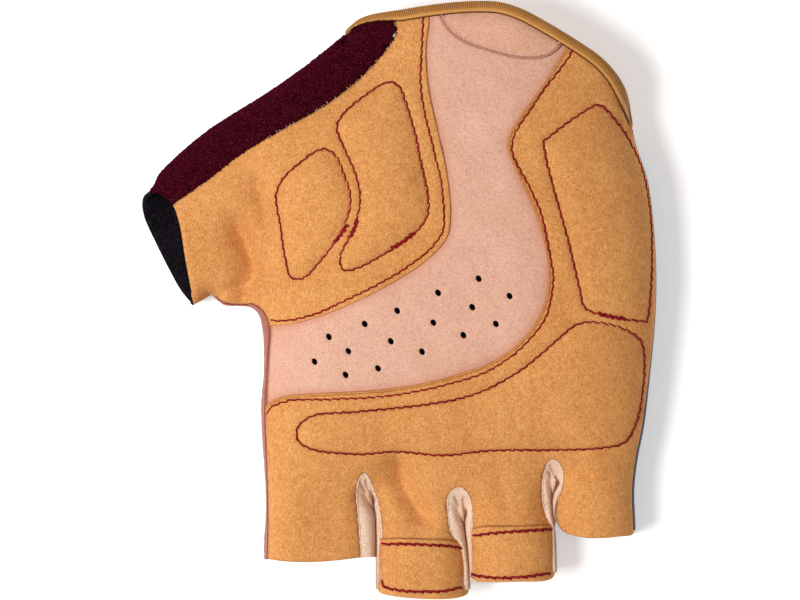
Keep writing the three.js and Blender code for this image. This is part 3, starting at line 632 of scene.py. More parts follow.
class Finish:
    """A node material with a principled shader, built from small named steps."""

    def __init__(self, name, roughness, sheen=0.0, tint=(1, 1, 1), sheen_roughness=0.5, specular=0.3):
        self.material = bpy.data.materials.new(name)
        self.material.use_nodes = True
        self.tree = self.material.node_tree
        self.shader = self.tree.nodes["Principled BSDF"]
        self.fill(self.shader, {"Roughness": roughness, "Sheen Weight": sheen, "Sheen Tint": tint,
                                "Sheen Roughness": sheen_roughness, "Specular IOR Level": specular})
        self.place = self.node("ShaderNodeTexCoord").outputs["Object"]

    def fill(self, node, values):
        """Sets or links a node's sockets, by name or number. A tuple is a colour."""
        for key, value in values.items():
            if isinstance(value, bpy.types.NodeSocket):
                self.tree.links.new(value, node.inputs[key])
            else:
                node.inputs[key].default_value = (*value, 1) if isinstance(value, tuple) else value

    def node(self, kind, values=None, **settings):
        made = self.tree.nodes.new(kind)
        for key, value in settings.items():
            setattr(made, key, value)
        self.fill(made, values or {})
        return made

    def texture(self, kind, size_mm, stretch=(1, 1, 1), **values):
        """A solid texture whose features measure about size_mm."""
        scale = [1 / (size_mm * MM) / s for s in stretch]
        spot = self.node("ShaderNodeMapping", {"Vector": self.place, "Scale": scale}).outputs[0]
        return self.node(kind, {"Vector": spot, "Scale": 1.0, **values})

    def noise(self, size_mm, detail=3.0, roughness=0.55, stretch=(1, 1, 1), distortion=0.0):
        return self.texture("ShaderNodeTexNoise", size_mm, stretch, Detail=detail, Roughness=roughness,
                            Distortion=distortion).outputs["Fac"]

    def attribute(self, name):
        return self.node("ShaderNodeAttribute", attribute_name=name).outputs["Fac"]

    def ramp(self, source, low, high, start=0.0, end=1.0):
        return self.node("ShaderNodeMapRange", {"Value": source, "From Min": low, "From Max": high,
                                                "To Min": start, "To Max": end}).outputs["Result"]

    def mix(self, factor, a, b, blend="MIX"):
        return self.node("ShaderNodeMix", {0: factor, 6: a, 7: b}, data_type="RGBA",
                         blend_type=blend).outputs[2]

    def over(self, color, top, source, low, high, end=1.0, start=0.0):
        """Lays a colour over another: a share of start where the source is low, of end where high."""
        return self.mix(self.ramp(source, low, high, start, end), color, top)

    def tinted(self, color, tint, *mask):
        """The colour multiplied by a tint, where the mask, given as for over, says so."""
        return self.over(color, self.mix(1.0, color, tint, "MULTIPLY"), *mask)

    def done(self, color, reliefs=(), roughness=None):
        """Links the colour and the bumps, each a height and its depth in millimetres."""
        last = {}
        for height, depth in reliefs:
            bump = self.node("ShaderNodeBump", {"Height": height, "Distance": depth * MM, **last})
            last = {"Normal": bump.outputs["Normal"]}
        self.fill(self.shader, {"Base Color": color, **last})
        if roughness is not None:
            self.fill(self.shader, {"Roughness": roughness})
        return self.material


def linear(r, g, b):
    """A colour given in 0 to 255 as on a screen, in the renderer's linear terms."""
    return tuple(((v / 255 + 0.055) / 1.055) ** 2.4 if v > 10 else v / 255 / 12.92 for v in (r, g, b))


def suede():
    f = Finish("tan_suede", 0.94, 0.15, (1, 0.75, 0.5), 0.45, 0.08)
    cloud = f.noise(16, 3)
    mottle = f.noise(1.7, 3, 0.6)
    nap = f.noise(0.42, 3, 0.75, stretch=(1, 1.9, 1), distortion=0.6)
    grain = f.noise(0.26, 2, 0.75)
    fleck = f.noise(0.36, 2, 0.6, stretch=(1.5, 1, 1))
    color = f.over(linear(243, 174, 104), linear(252, 187, 116), cloud, 0.3, 0.7)
    color = f.tinted(color, (0.92, 0.88, 0.84), mottle, 0.62, 0.4)
    color = f.tinted(color, (0.76, 0.66, 0.57), nap, 0.6, 0.36)
    color = f.tinted(color, (0.8, 0.72, 0.64), grain, 0.58, 0.4)
    color = f.over(color, linear(164, 96, 46), fleck, 0.6, 0.7, 0.7)
    color = f.over(color, linear(255, 214, 164), fleck, 0.38, 0.28, 0.6)
    # Darker brown where a piece's edge mark says: painted shade along a panel's turned-in line, a cut edge
    # over the pink darkened partly by its own colour and partly as painted shade, and a tab's frayed top
    # edge.
    color = f.over(color, linear(150, 80, 36), f.attribute("edge"), 0.1, 1, 0.85)
    return f.done(color, [(cloud, 0.25), (mottle, 0.1), (nap, 0.12), (grain, 0.08)],
                  f.ramp(mottle, 0.3, 0.7, 0.98, 0.85))


def synthetic(name, base, shade, edge):
    f = Finish(name, 0.7, 0.12, (1, 0.9, 0.85), specular=0.25)
    grain = f.noise(0.42, 3, 0.7, stretch=(1.3, 1, 1), distortion=0.5)
    pores = f.noise(1.1, 3, 0.65)
    color = f.over(linear(*shade), linear(*base), f.noise(14, 3), 0.3, 0.7)
    color = f.tinted(color, (0.8, 0.73, 0.7), grain, 0.62, 0.38)
    color = f.tinted(color, (0.84, 0.74, 0.71), pores, 0.54, 0.7, 0.6)
    color = f.tinted(color, (0.66, 0.55, 0.5), f.noise(0.5, 2, 0.6), 0.64, 0.72, 0.4)
    # The edge colour goes where a piece's edge mark says; on the pink palm and the cream webs it is painted
    # shade.
    color = f.over(color, linear(*edge), f.attribute("edge"), 0, 1, 0.8)
    return f.done(color, [(pores, 0.12), (grain, 0.09)], f.ramp(grain, 0.3, 0.7, 0.8, 0.62))


def elastic():
    f = Finish("ochre_elastic", 0.62, 0.2, (1, 0.85, 0.5), specular=0.35)
    rib = f.attribute("groove")
    fibre = f.noise(0.22, 2, 0.6)
    color = f.over(linear(214, 146, 66), linear(232, 164, 82), f.noise(5, 2), 0.3, 0.7)
    # Painted shade in the valleys between the ribs.
    color = f.over(color, linear(112, 66, 22), rib, 0.1, 0.9, 0.95)
    color = f.over(color, linear(236, 176, 106), rib, -0.2, -1, 0.6)
    color = f.tinted(color, (0.75, 0.7, 0.6), fibre, 0.35, 0.7, 0.6, 1.0)
    return f.done(color, [(fibre, 0.05)])


def terry():
    f = Finish("burgundy_terry", 1.0, 0.12, (0.5, 0.03, 0.12), 0.4, 0.0)
    loops = f.texture("ShaderNodeTexVoronoi", 0.4).outputs["Distance"]
    tufts = f.noise(1.2, 3, 0.65)
    stray = f.noise(0.3, 2, 0.7)
    color = f.over((0.03, 0.0016, 0.004), (0.1, 0.005, 0.014), tufts, 0.3, 0.72)
    color = f.over(color, (0.01, 0.0008, 0.002), loops, 0.15, 0.75, 0.75)
    color = f.over(color, (0.3, 0.03, 0.08), stray, 0.6, 0.7, 0.9)
    return f.done(color, [(tufts, 0.2), (loops, -0.2), (stray, 0.1)])


def knit(name, base, shade, size_mm, specular=0.3, sheen=0.15, fleck=None):
    f = Finish(name, 0.72, sheen, specular=specular)
    waves = [f.node("ShaderNodeTexWave", {"Vector": f.place, "Scale": 0.5 / (size * MM), "Distortion": 0.6},
                    wave_type="BANDS", bands_direction=way).outputs["Fac"]
             for way, size in (("X", size_mm), ("Y", 0.7 * size_mm))]
    weave = f.node("ShaderNodeMath", {0: waves[0], 1: waves[1]}, operation="MULTIPLY").outputs[0]
    cloud = f.noise(9, 3)
    color = f.over(shade, base, cloud, 0.3, 0.7)
    color = f.tinted(color, (0.6, 0.6, 0.65), weave, 0, 1, 0.5, 1.0)
    if fleck:
        color = f.over(color, fleck, f.noise(0.45, 3, 0.7), 0.52, 0.68)
    return f.done(color, [(weave, 0.08), (cloud, 0.3)])


def thread(name, base, shade):
    f = Finish(name, 0.65, specular=0.15)
    ply = f.noise(0.6, 2, 0.6)
    color = f.over(linear(*shade), linear(*base), ply, 0.4, 0.6)
    # Painted shade: darker where a stitch dips into its needle hole, and on the hole's bead.
    color = f.tinted(color, (0.42, 0.26, 0.26), f.attribute("ends"), 0.25, 1.0, 0.85)
    return f.done(color, [(ply, 0.05)])


suede_finish = suede()
# Last colours: painted shade on the pink palm and the cream webs; on the patch, a darker cut edge and
# painted shade in its groove.
pink_finish = synthetic("pink_synthetic", (244, 196, 172), (237, 186, 160), (210, 140, 112))
patch_finish = synthetic("pink_patch", (243, 190, 161), (236, 181, 152), (128, 56, 42))
cream_finish = synthetic("cream_synthetic", (255, 228, 202), (252, 216, 188), (150, 88, 54))
tuft_finish = synthetic("suede_tufts", (255, 222, 180), (250, 206, 158), (230, 180, 130))
salmon_finish = knit("salmon_stretch", linear(224, 142, 112), linear(206, 122, 94), 0.6)
elastic_finish = elastic()
terry_finish = terry()
black_finish = knit("black_stretch", (0.011, 0.0085, 0.013), (0.004, 0.003, 0.005), 0.7, specular=0.05,
                    sheen=0, fleck=(0.028, 0.022, 0.03))
navy_finish = knit("navy_stretch", linear(30, 66, 112), linear(18, 42, 80), 0.5)
red_thread = thread("red_thread", (164, 24, 36), (112, 12, 22))
pink_thread = thread("pink_thread", (236, 198, 184), (208, 158, 142))
fibre_finish = thread("cut_fibres", (255, 238, 224), (252, 226, 208))
seam_thread = thread("seam_thread", (120, 66, 34), (84, 40, 22))


# Lines shared by the pieces

CROTCH = (-47.2, 1.2)               # where the index finger's side strip begins, beside the thumb
CROTCH_SEAM = (-47.2, 1.25)
THUMB_TIP = (-51.6, -1.2)
THUMB_TOP = (-62.5, 27.5)
WIPE_BACK_END = (-62.2, 27.2)
INDEX_CORNER = (-33.1, -64.8)
RIM_LEFT = (-13.8, 67.2)            # the left end of the wrist opening
RIM_RIGHT = (58, 44.5)
RIM_END = (58.2, 43.4)              # where the outer side meets it
# How far inside the outer side the palm's suede ends, by the place in Y. The stretch back meets it.
OUTER_GAP = [(-58, 0.72), (-28, 0.62), (-15, 0.36), (0, 0.16), (45, 0.12)]

thumb_side, crotch_side, right_side = map(smooth, (THUMB_SIDE, CROTCH_SIDE, RIGHT_SIDE))
slit_lines = [smooth(line, 0.3) for line in SLITS]
cream_edges = [smooth(line, 0.4) for line in CREAM_EDGES]
wrist_edge, back_edge = shifted(wrist_rim, -1.0), shifted(back_rim, 1.0)
back_edge = back_edge[np.linalg.norm(back_edge - RIM_RIGHT, axis=1) > 1.6]
outer_side = between(right_side, (58.7, -57.5), RIM_END)
outer_seam = shifted(outer_side, np.interp(outer_side[:, 1], *zip(*OUTER_GAP)))

wrist_at_wipe, wrist_at_thenar, wrist_at_palm = (
    crossing(line, wrist_edge) for line in (wipe_edge, thenar_edge, palm_edge))
gusset_at_thenar, gusset_at_palm = crossing(gusset_edge, thenar_edge), crossing(gusset_edge, palm_edge)
front_at_wipe = crossing(thumb_front, wipe_edge)
thenar_lap = between(thenar_edge, wrist_at_thenar, gusset_at_thenar)
palm_lap = between(palm_edge, wrist_at_palm, gusset_at_palm)
thumb_crotch = between(crotch_side, CROTCH, THUMB_TIP)
wipe_front = between(wipe_edge, front_at_wipe, wrist_at_wipe)
finger_ends = [
    index_end, cream_edges[0], middle_end, cream_edges[1], ring_end, cream_edges[2], little_end,
]


# Cloth along the rim of the wrist opening, in rows from the rim inward, all the way round

ROW_STEP = 0.5
ROW_DEPTHS = np.arange(0, 3.6, ROW_STEP)
RIM_STEP = 0.12
RIM_INSET = 0.12        # the first row lies this far inside the rim
WAY_PASSES = 1800       # how often the ways inward from the rim are eased, and the cloth itself
CLOTH_PASSES = 60
BAND_REACH = 4.2        # the band is felt this far in from the rim
BAND_ROOM = 0.25        # and a panel under it stays this far below its cloth
front_rim, rear_rim = resample(wrist_rim, RIM_STEP), resample(back_rim, RIM_STEP)
whole_rim = np.vstack([front_rim[:-1], rear_rim[:-1]])
on_front = np.arange(len(whole_rim)) < len(front_rim) - 1


def eased_ring(values, passes):
    """Values round a ring, each drawn towards its neighbours some times over."""
    for _ in range(passes):
        values = (np.roll(values, 1, -2) + 2 * values + np.roll(values, -1, -2)) / 4
    return values


def rim_rows():
    ways = np.vstack([-sideways(front_rim)[:-1], sideways(rear_rim)[:-1]])
    inward = unit(eased_ring(ways, WAY_PASSES))
    sheets = []
    for depth in ROW_DEPTHS:
        flat = whole_rim + inward * (depth + RIM_INSET)
        distance = side_distance(flat)
        within = ease(0.5, 2.2, distance)
        surface = np.where(on_front, top_level(flat, distance), base_level(flat, distance))
        if depth == 0:
            rim_level = surface
        sheets.append(lifted(flat, rim_level * (1 - within) + surface * within))
    return eased_ring(np.array(sheets), CLOTH_PASSES)


rim_cloth = rim_rows()


def under_band(flat, level, front=True):
    """Keeps a panel just inside the band that covers its edge."""
    spots = rim_cloth[:, on_front == front].reshape(-1, 3)
    away = measure(flat, wrist_rim if front else back_rim)[0]
    outward = 1 if front else -1
    for i in np.nonzero(away < BAND_REACH)[0]:
        gap = np.linalg.norm(spots[:, :2] - flat[i], axis=1)
        k = np.argpartition(gap, 3)[:3]
        weight = 1 / (gap[k] + 0.05)
        cap = (spots[k, 2] * weight).sum() / weight.sum()
        past = max(outward * (level[i] - cap) + BAND_ROOM, 0)
        level[i] -= outward * past * (1 - ease(2.7, 4.1, away[i]))
    return level


# Suede panels of the palm

SIDE_ROWS = (0.03, 0.12, 0.3, 0.55, 0.9, 1.35, 1.9, 2.6)
EDGE_ROWS = [side * row for side in (-1, 1) for row in (0.08, 0.18, 0.34, 0.48, 0.62, 0.76, 0.92)]
TURN_LINE = 0.62            # how far inside the palm panel's edge the line of its turned-in part lies
LAP_ROLL = (0.45, 0.24)     # radius and depth of the edge that laps over the pink
FREE_ROLL = (0.55, 0.35)    # and of the edge that hems an opening


def suede_panel(name, outline, lap_edge, turned_in, free_edges, lines, rings):
    """turned_in: 1 where the edge that laps over the pink is turned in, shown by a groove and painted shade.
    """
    flat, faces = triangulated(outline, lines=lines, rings=rings)
    lap_gap = measure(flat, lap_edge)[0]
    trace = turned_in * bell(lap_gap - TURN_LINE, 0.16)
    level = top_level(flat) + suede_relief(flat) + rolled(lap_gap, *LAP_ROLL) - 0.14 * trace
    for free_edge in free_edges:
        level += rolled(measure(flat, free_edge)[0], *FREE_ROLL)
    thickness = PINK_DROP + 0.1 + 0.8 * ease(0.5, LAP + 2, lap_gap)
    thickness *= 0.08 + 0.92 * ease(0.5, 6, np.linalg.norm(flat - THUMB_TIP, axis=1))
    shape = slab(lifted(flat, under_band(flat, level)), faces, thickness)
    obj = piece(name + "_suede", shape, suede_finish, name)
    # Painted shade along the turned-in line; the cut edge over the pink is darker partly by its own colour,
    # partly as painted shade.
    mark(obj, "edge", (0.45 + 0.45 * turned_in) * bell(lap_gap, 0.19) + 0.95 * trace)


suede_panel(
    "thenar_panel",
    outline_of(
        between(wrist_edge, wrist_at_wipe, wrist_at_thenar), thenar_lap,
        between(gusset_edge, gusset_at_thenar, CROTCH_SEAM), thumb_crotch,
        between(thumb_front, THUMB_TIP, front_at_wipe), wipe_front,
    ),
    thenar_edge, 0, [thumb_front],
    [thenar_stitch, pad_lines["thenar"], pad_lines["thumb"]],
    [(thenar_edge, EDGE_ROWS, 0.5), (thumb_crotch, SIDE_ROWS, 0.5)],
)
suede_panel(
    "palm_panel",
    outline_of(
        palm_lap, between(gusset_edge, gusset_at_palm, INDEX_CORNER), *finger_ends, outer_seam,
        between(wrist_edge, (57, 45.4), wrist_at_palm),
    ),
    palm_edge, 1, [index_end, little_end],
    [palm_stitch, pad_lines["heel"], pad_lines["knuckle"]],
    [(palm_edge, EDGE_ROWS, 0.5), (outer_side, (0.7, 0.9, 1.3, 1.8, 2.4), 0.6)],
)


# Foam pads. Each is a cushion of suede, sewn down all round and blown up by a cloth simulation.

SIM_SCALE = 0.02        # metres in the simulation to a millimetre, a size where the solver is steady
SIM_FRAMES = 24
CLOTH = {
    "quality": 6, "mass": 0.3, "vertex_group_mass": "sewn", "shrink_min": -0.035,
    "tension_stiffness": 12, "compression_stiffness": 12, "shear_stiffness": 4, "bending_stiffness": 0.35,
    "use_pressure": True, "uniform_pressure_force": 3.0,
}
PAD_NODES = {
    "thenar": "thenar_panel", "thumb": "thenar_panel", "heel": "palm_panel", "knuckle": "palm_panel",
}
PAD_ROWS = (0.3, 0.65, 1.05, 1.5)
CROWN = 6.5             # how far inside its stitches a pad reaches its full height


def blown(flat, faces, start, held):
    """Heights that a sewn-down sheet takes over foam, from a short run of Blender's cloth."""
    mesh = meshed("blown", lifted(flat, start) * SIM_SCALE, faces)
    sheet = placed("blown", mesh)
    sheet.vertex_groups.new(name="sewn").add(np.nonzero(held)[0].tolist(), 1.0, "REPLACE")
    cloth = sheet.modifiers.new("cloth", "CLOTH")
    for key, value in CLOTH.items():
        setattr(cloth.settings, key, value)
    cloth.settings.effector_weights.gravity = 0
    cloth.collision_settings.use_collision = False
    cloth.point_cache.frame_start = 1
    cloth.point_cache.frame_end = SIM_FRAMES
    scene = bpy.context.scene
    for step in range(1, SIM_FRAMES + 1):
        scene.frame_set(step)
    result = sheet.evaluated_get(bpy.context.evaluated_depsgraph_get()).to_mesh()
    points = np.empty(len(flat) * 3)
    result.vertices.foreach_get("co", points)
    scene.frame_set(1)
    bpy.data.objects.remove(sheet)
    bpy.data.meshes.remove(mesh)
    return points.reshape(-1, 3)[:, 2] / SIM_SCALE


def foam_pad(name):
    line = pad_lines[name]
    rings = [(line, [side * row for row in PAD_ROWS], 0.5) for side in (1, -1)]
    flat, faces = triangulated(line[:-1], step=0.75, rings=rings)
    gap, along = measure(flat, line)
    seat = top_level(flat)
    swell = crown = 1 - (1 - np.clip(gap / CROWN, 0, 1)) ** 2.2
    pinch = -0.14 * (1 + np.cos(TURN * along / STITCH)) * bell(gap, 0.35)
    raised = blown(flat, faces, 0.4 * crown + pinch, gap < 0.05)
    swell = 0.5 * crown + 0.5 * (raised - pinch) / np.percentile(raised, 97)
    level = seat + PAD_HEIGHTS[name] * swell + pinch - 0.2 * bell(gap, 0.4) - 0.12
    shape = slab(lifted(flat, level), faces, 0.5 + (level - seat + 0.5) * ease(0, 1.5, gap))
    pad = piece(name + "_pad", shape, suede_finish, PAD_NODES[name])
    mark(pad, "edge", [0.0])


for pad_name in PADS:
    foam_pad(pad_name)


# Pink palm with its air holes

def centre_panel():
    under_thenar, under_palm = shifted(thenar_lap, -LAP), shifted(palm_lap, LAP)
    outline = outline_of(
        between(wrist_edge, under_thenar[0], under_palm[0]), under_palm,
        between(gusset_edge, under_palm[-1], under_thenar[-1]), under_thenar[::-1],
    )
    flat, faces = triangulated(outline, holes=HOLES)
    lap = np.minimum(measure(flat, thenar_edge)[0], measure(flat, palm_edge)[0])
    level = top_level(flat) + 0.14 * unevenness(flat * 2.3) - 0.25 * bell(lap, 2.2)
    for hole in HOLES:
        gap = np.linalg.norm(flat - hole, axis=1) - HOLE_RADIUS
        level -= 0.14 * bell(np.maximum(gap, 0), 0.4)
    verts = lifted(flat, under_band(flat, level))
    verts = verts - normals_of(verts, faces) * PINK_DROP
    obj = piece("centre_panel_pink", slab(verts, faces, 0.8), pink_finish, "centre_panel")
    # Painted shade: the pink darkens and reddens along the suede that laps over it, and towards the gusset
    # on the left, which faces the light.
    left = measure(verts[:, :2], gusset_edge)[0]
    mark(obj, "edge", 0.6 * bell(lap, 1.1) + 0.12 * bell(lap, 5) + 0.3 * bell(left, 7))


centre_panel()


# Side strips. Each runs from its seam on the palm side, over the side fold, to its seam on the back.

WALL_LIFT = 3.2       # in a slit, two raised walls meet this far above the fold
WEB_RISE = 6.8        # and the web at the slit's head lies this far above it
WEB_BLEND = 1.6       # how sharply wall and web meet
STRIP_WALL = 0.9


def strip(side, front_seam, back_seam, rows, relief, bend=2.6, ends=None, inner=None, head=None):
    """A strip over a side fold. side and seams are lines with as many points as each other.
    head: in a slit, how near each point is to the slit's head, where the strip rises to a web."""
    shares = np.linspace(1, 0, rows) ** bend
    places = [*((share, True) for share in shares), *((share, False) for share in shares[-2::-1])]
    sheets = []
    for share, front in places:
        flat = side + ((front_seam if front else back_seam) - side) * share
        if ends:
            flat = ends(flat, share, front)
        distance = side_distance(flat)
        level = top_level(flat, distance) if front else base_level(flat, distance)
        if share == 0:
            level = np.full(len(side), FOLD_Z)
        if front and head is not None:
            raised = level + (WALL_LIFT * (1 - head) if share else 0)
            web = FOLD_Z + WEB_RISE * head
            blend = np.logaddexp(WEB_BLEND * raised, WEB_BLEND * web) / WEB_BLEND
            level = level + (blend - level) * (1 - share)
        elif front and ends:
            level = under_band(flat, level)
        sheets.append(lifted(flat, level))
    verts, faces = np.vstack(sheets), grid_faces(len(sheets), len(side))
    normals = normals_of(verts, faces)
    if normals[:len(side), 2].mean() < 0:
        faces, normals = faces[:, ::-1], -normals
    verts = verts + normals * relief(verts).reshape(-1, 1)
    return slab(verts, faces, inner(verts) if inner else STRIP_WALL)


def paired(one, other, step):
    """Two lines cut into equally many points, so that each has a partner."""
    count = int(max(lengths(one)[-1], lengths(other)[-1]) / step) + 2
    return resample(one, count=count), resample(other, count=count)


def gusset_relief(verts):
    return 0.04 * np.sin(verts[:, 1] * 1.7 + np.sin(verts[:, 1] * 0.5) * 2) * bell(verts[:, 2] - FOLD_Z, 4)


side, seam = paired(between(crotch_side, CROTCH, (-34, -65)), gusset_edge, 0.6)
gusset = strip(side, seam, seam, 9, gusset_relief)
piece("index_gusset_cloth", gusset, salmon_finish, "index_gusset")


# Walls and webs between the fingers. For each, the two ends of its slit.

FOURCHETTES = {
    "fourchette_index_middle": [(-6.05, -64.3), (-6, -72.3)],
    "fourchette_middle_ring": [(17.5, -72.3), (17.3, -68.1)],
    "fourchette_ring_little": [(39.05, -68.1), (38.7, -56.6)],
}


def web_crease(verts):
    creases = [bell(measure(verts[:, :2], np.array(line))[0], 0.3) for line in WEB_CREASES]
    return np.max(creases, axis=0) * ease(FOLD_Z + 3.5, FOLD_Z + 5, verts[:, 2])


def web_relief(verts):
    heads = [slit[slit[:, 1].argmax()] for slit in slit_lines]
    clear = np.min([np.linalg.norm(verts[:, :2] - head, axis=1) for head in heads], axis=0)
    return -0.4 * web_crease(verts) * ease(0.5, 2.2, clear)


def fourchette(name, slit, edge, ends):
    def slit_gap(verts):
        return measure(verts[:, :2], slit)[0]

    half = len(slit) // 2
    first, last = nearest(slit[:half], ends[0]), half + nearest(slit[half:], ends[1])
    slit_apex, edge_apex = slit[:, 1].argmax(), edge[:, 1].argmax()
    halves = [paired(slit[first:slit_apex + 1], edge[:edge_apex + 1], 0.3),
              paired(slit[slit_apex:last + 1], edge[edge_apex:], 0.3)]
    side, seam = (np.vstack([one, other[1:]]) for one, other in zip(*halves))
    head = 1 - ease(0.2, 6, slit[slit_apex, 1] - side[:, 1])
    verts, faces = strip(side, seam, seam, 30, web_relief, head=head,
                         inner=lambda verts: 0.1 + 0.6 * ease(0.4, 2.5, slit_gap(verts)))
    # Painted shade: the cream darkens to brown beside the deep slit and in the web creases.
    shade = 0.5 * bell(slit_gap(verts), 0.5) * ease(FOLD_Z - 2, FOLD_Z + 2, verts[:, 2])
    obj = piece(name + "_cloth", (verts, faces), cream_finish, name)
    mark(obj, "edge", np.maximum(0.4 * web_crease(verts), shade))


for (name, ends), slit, edge in zip(FOURCHETTES.items(), slit_lines, cream_edges):
    fourchette(name, slit, edge, ends)


# Terry along the thumb

TUFTS = ((2.6, 0.03), (1.4, 0.05), (0.9, 0.04))       # size and height of the terry's unevenness


def wipe_ends(flat, share, front):
    """Bends the strip's two ends to the rims that it runs to."""
    if front:
        tip = between(thumb_front, THUMB_TOP, front_at_wipe)
        rim = between(wrist_edge, RIM_LEFT, wrist_at_wipe)
    else:
        tip = np.array([THUMB_TOP, WIPE_BACK_END])
        rim = between(back_edge, RIM_LEFT, (-6.5, 62.8))
    to_tip, to_rim = (resample(line, count=101)[int(round(share * 100))] for line in (tip, rim))
    along = np.linspace(0, 1, len(flat))[:, None]
    near_tip, near_rim = 1 - ease(0, 0.15, along), ease(0.65, 1, along)
    return flat + near_tip * (to_tip - flat[0]) + near_rim * (to_rim - flat[-1])


def terry_relief(verts):
    total = np.zeros(len(verts))
    for size, amount in TUFTS:
        for _ in range(5):
            heading = unit(RNG.normal(size=3))
            total += amount * np.sin(verts @ heading * TURN / size + RNG.uniform(0, 6.28)) * 0.5
    total += 0.2 + RNG.uniform(-0.03, 0.03, len(verts))
    return total * ease(0.8, 4, measure(verts[:, :2], wrist_rim)[0])


side, seam = paired(between(thumb_side, THUMB_TOP, (-14.1, 66.9)), wipe_front, 0.32)
back_seam = resample(wipe_back_edge[::-1], count=len(side))
seam = shifted(seam, 0.2 * RNG.normal(size=len(seam)))
wipe = strip(side, seam, back_seam, 30, terry_relief, bend=1.6, ends=wipe_ends,
             inner=lambda verts: 0.15 + ease(1, 6, measure(verts[:, :2], wrist_rim)[0]))
piece("thumb_wipe_terry", wipe, terry_finish, "thumb_wipe")


# Back

back_side = outer_side[outer_side[:, 1] < 42]
base_at_wipe, base_at_gusset = crossing(thumb_base, wipe_back_edge), crossing(thumb_base, gusset_edge)
wipe_at_base, gusset_at_base = crossing(wipe_back_edge, thumb_base), crossing(gusset_edge, thumb_base)
across_base = between(thumb_base, base_at_wipe, base_at_gusset)


def around_outer_side(verts, faces):
    """Carries the back over the side fold, up to the suede."""
    rows, count = 6, len(back_side)
    sheets = [verts]
    for k in range(1, rows + 1):
        flat = back_side + (outer_seam[:count] - back_side) * (k / rows) ** 2.6
        sheets.append(lifted(flat, top_level(flat)))
    first = [nearest(verts[:, :2], spot) for spot in back_side]
    ids = np.vstack([first, len(verts) + np.arange(rows * count).reshape(rows, count)])
    a, b, c, d = ids[:-1, :-1], ids[:-1, 1:], ids[1:, 1:], ids[1:, :-1]
    return np.vstack(sheets), np.vstack([faces, np.stack([a, b, c, a, c, d], -1).reshape(-1, 3)])


def back_piece(name, outline, finish, rings, extend=None):
    flat, faces = triangulated(outline, step=1.1, rings=rings)
    verts = lifted(flat, under_band(flat, base_level(flat), front=False))
    faces = faces[:, ::-1]
    if extend:
        verts, faces = extend(verts, faces)
    thickness = 0.08 + 0.8 * ease(0.5, 3, np.linalg.norm(verts[:, :2] - RIM_END, axis=1))
    piece(name + "_cloth", slab(verts, faces, thickness), finish, name)


back_piece(
    "back_panel",
    outline_of(
        across_base, between(gusset_edge, gusset_at_base, INDEX_CORNER), *finger_ends, back_side,
        between(back_edge, RIM_END, crossing(back_edge, wipe_back_edge)),
        between(wipe_back_edge, crossing(wipe_back_edge, back_edge), wipe_at_base),
    ),
    navy_finish, [(back_side, (0.03, 0.12, 0.3, 0.6, 1, 1.6, 2.4), 0.6)],
    around_outer_side,
)
back_piece(
    "thumb_back_panel",
    outline_of(
        thumb_back, thumb_crotch[::-1], between(gusset_edge, CROTCH_SEAM, gusset_at_base),
        across_base[::-1], between(wipe_back_edge, wipe_at_base, WIPE_BACK_END),
    ),
    black_finish, [(thumb_crotch, (-0.03, -0.15, -0.4, -0.8), 0.5)],
)


# Wrist patch

PATCH_ROWS = (0.06, 0.14, 0.24, 0.36, 0.5, 0.66, 0.84, 1.05, 1.3)
patch_line = between(patch_edge, patch_edge[0], crossing(patch_edge[len(patch_edge) // 2:], wrist_edge))


def wrist_patch():
    outline = outline_of(patch_line, between(wrist_edge, patch_line[-1], patch_line[0]))
    flat, faces = triangulated(outline, step=0.7, rings=[(patch_line, PATCH_ROWS, 0.45)])
    gap = measure(flat, patch_line)[0]
    level = top_level(flat) + 0.22 + 0.18 * bell(gap - 0.3, 0.22) - 0.12 * bell(gap - 0.56, 0.13)
    level += rolled(gap, 0.3, 0.35) + 0.35 * ease(1.2, 6, gap) * ease(2.5, 6, measure(flat, wrist_rim)[0])
    shape = slab(lifted(flat, under_band(flat, level)), faces, 0.8)
    obj = piece("wrist_patch_pink", shape, patch_finish, "wrist_patch")
    # Darker at the cut edge, and painted shade in the groove just inside it.
    mark(obj, "edge", bell(gap, 0.26) + 0.8 * bell(gap - 0.56, 0.16))


wrist_patch()


# Wrist binding: a ribbed elastic band folded over the rim of the opening

# The band's section: distance in from the rim, height over the cloth, and how deeply it is ribbed
BAND = [
    (2.75, -0.3, 0), (2.75, 0.3, 0), (2.66, 0.5, 0), (2.4, 0.58, 0), (2.1, 0.58, 0), (1.95, 0.52, 0),
    (1.88, 0.4, 0.3), (1.8, 0.62, 0.7), (1.4, 0.74, 1), (0.95, 0.76, 1), (0.5, 0.7, 1), (0.2, 0.52, 1),
    (0.02, 0.2, 1), (-0.04, -0.25, 1), (0.05, -0.75, 1), (0.35, -1.2, 1), (0.9, -1.5, 1),
    (1.7, -1.62, 0.5), (2.5, -1.6, 0), (2.75, -1.3, 0),
]
# How wide the band shows, by the distance from the left and the right end of the opening
LEFT_END = [(0, 0.12), (3, 0.42), (7, 0.68), (10, 0.78), (13, 0.9), (15.5, 1)]
RIGHT_END = [(0, 0.3), (2, 0.55), (5, 0.85), (8, 1)]
RIB = 0.48              # from one rib to the next
RIB_DEPTH = 0.16
SEAM_DEPTH = 2.9        # how far in from the rim the band is sewn down


def band_widths():
    front, rear = lengths(front_rim), lengths(rear_rim)
    from_left = np.concatenate([front[:-1], rear[-1] - rear[:-1]])
    from_right = np.concatenate([front[-1] - front[:-1], rear[:-1]])
    widths = np.interp(from_left, *zip(*LEFT_END)) * np.interp(from_right, *zip(*RIGHT_END))
    return eased_ring(widths[:, None], CLOTH_PASSES)[:, 0]


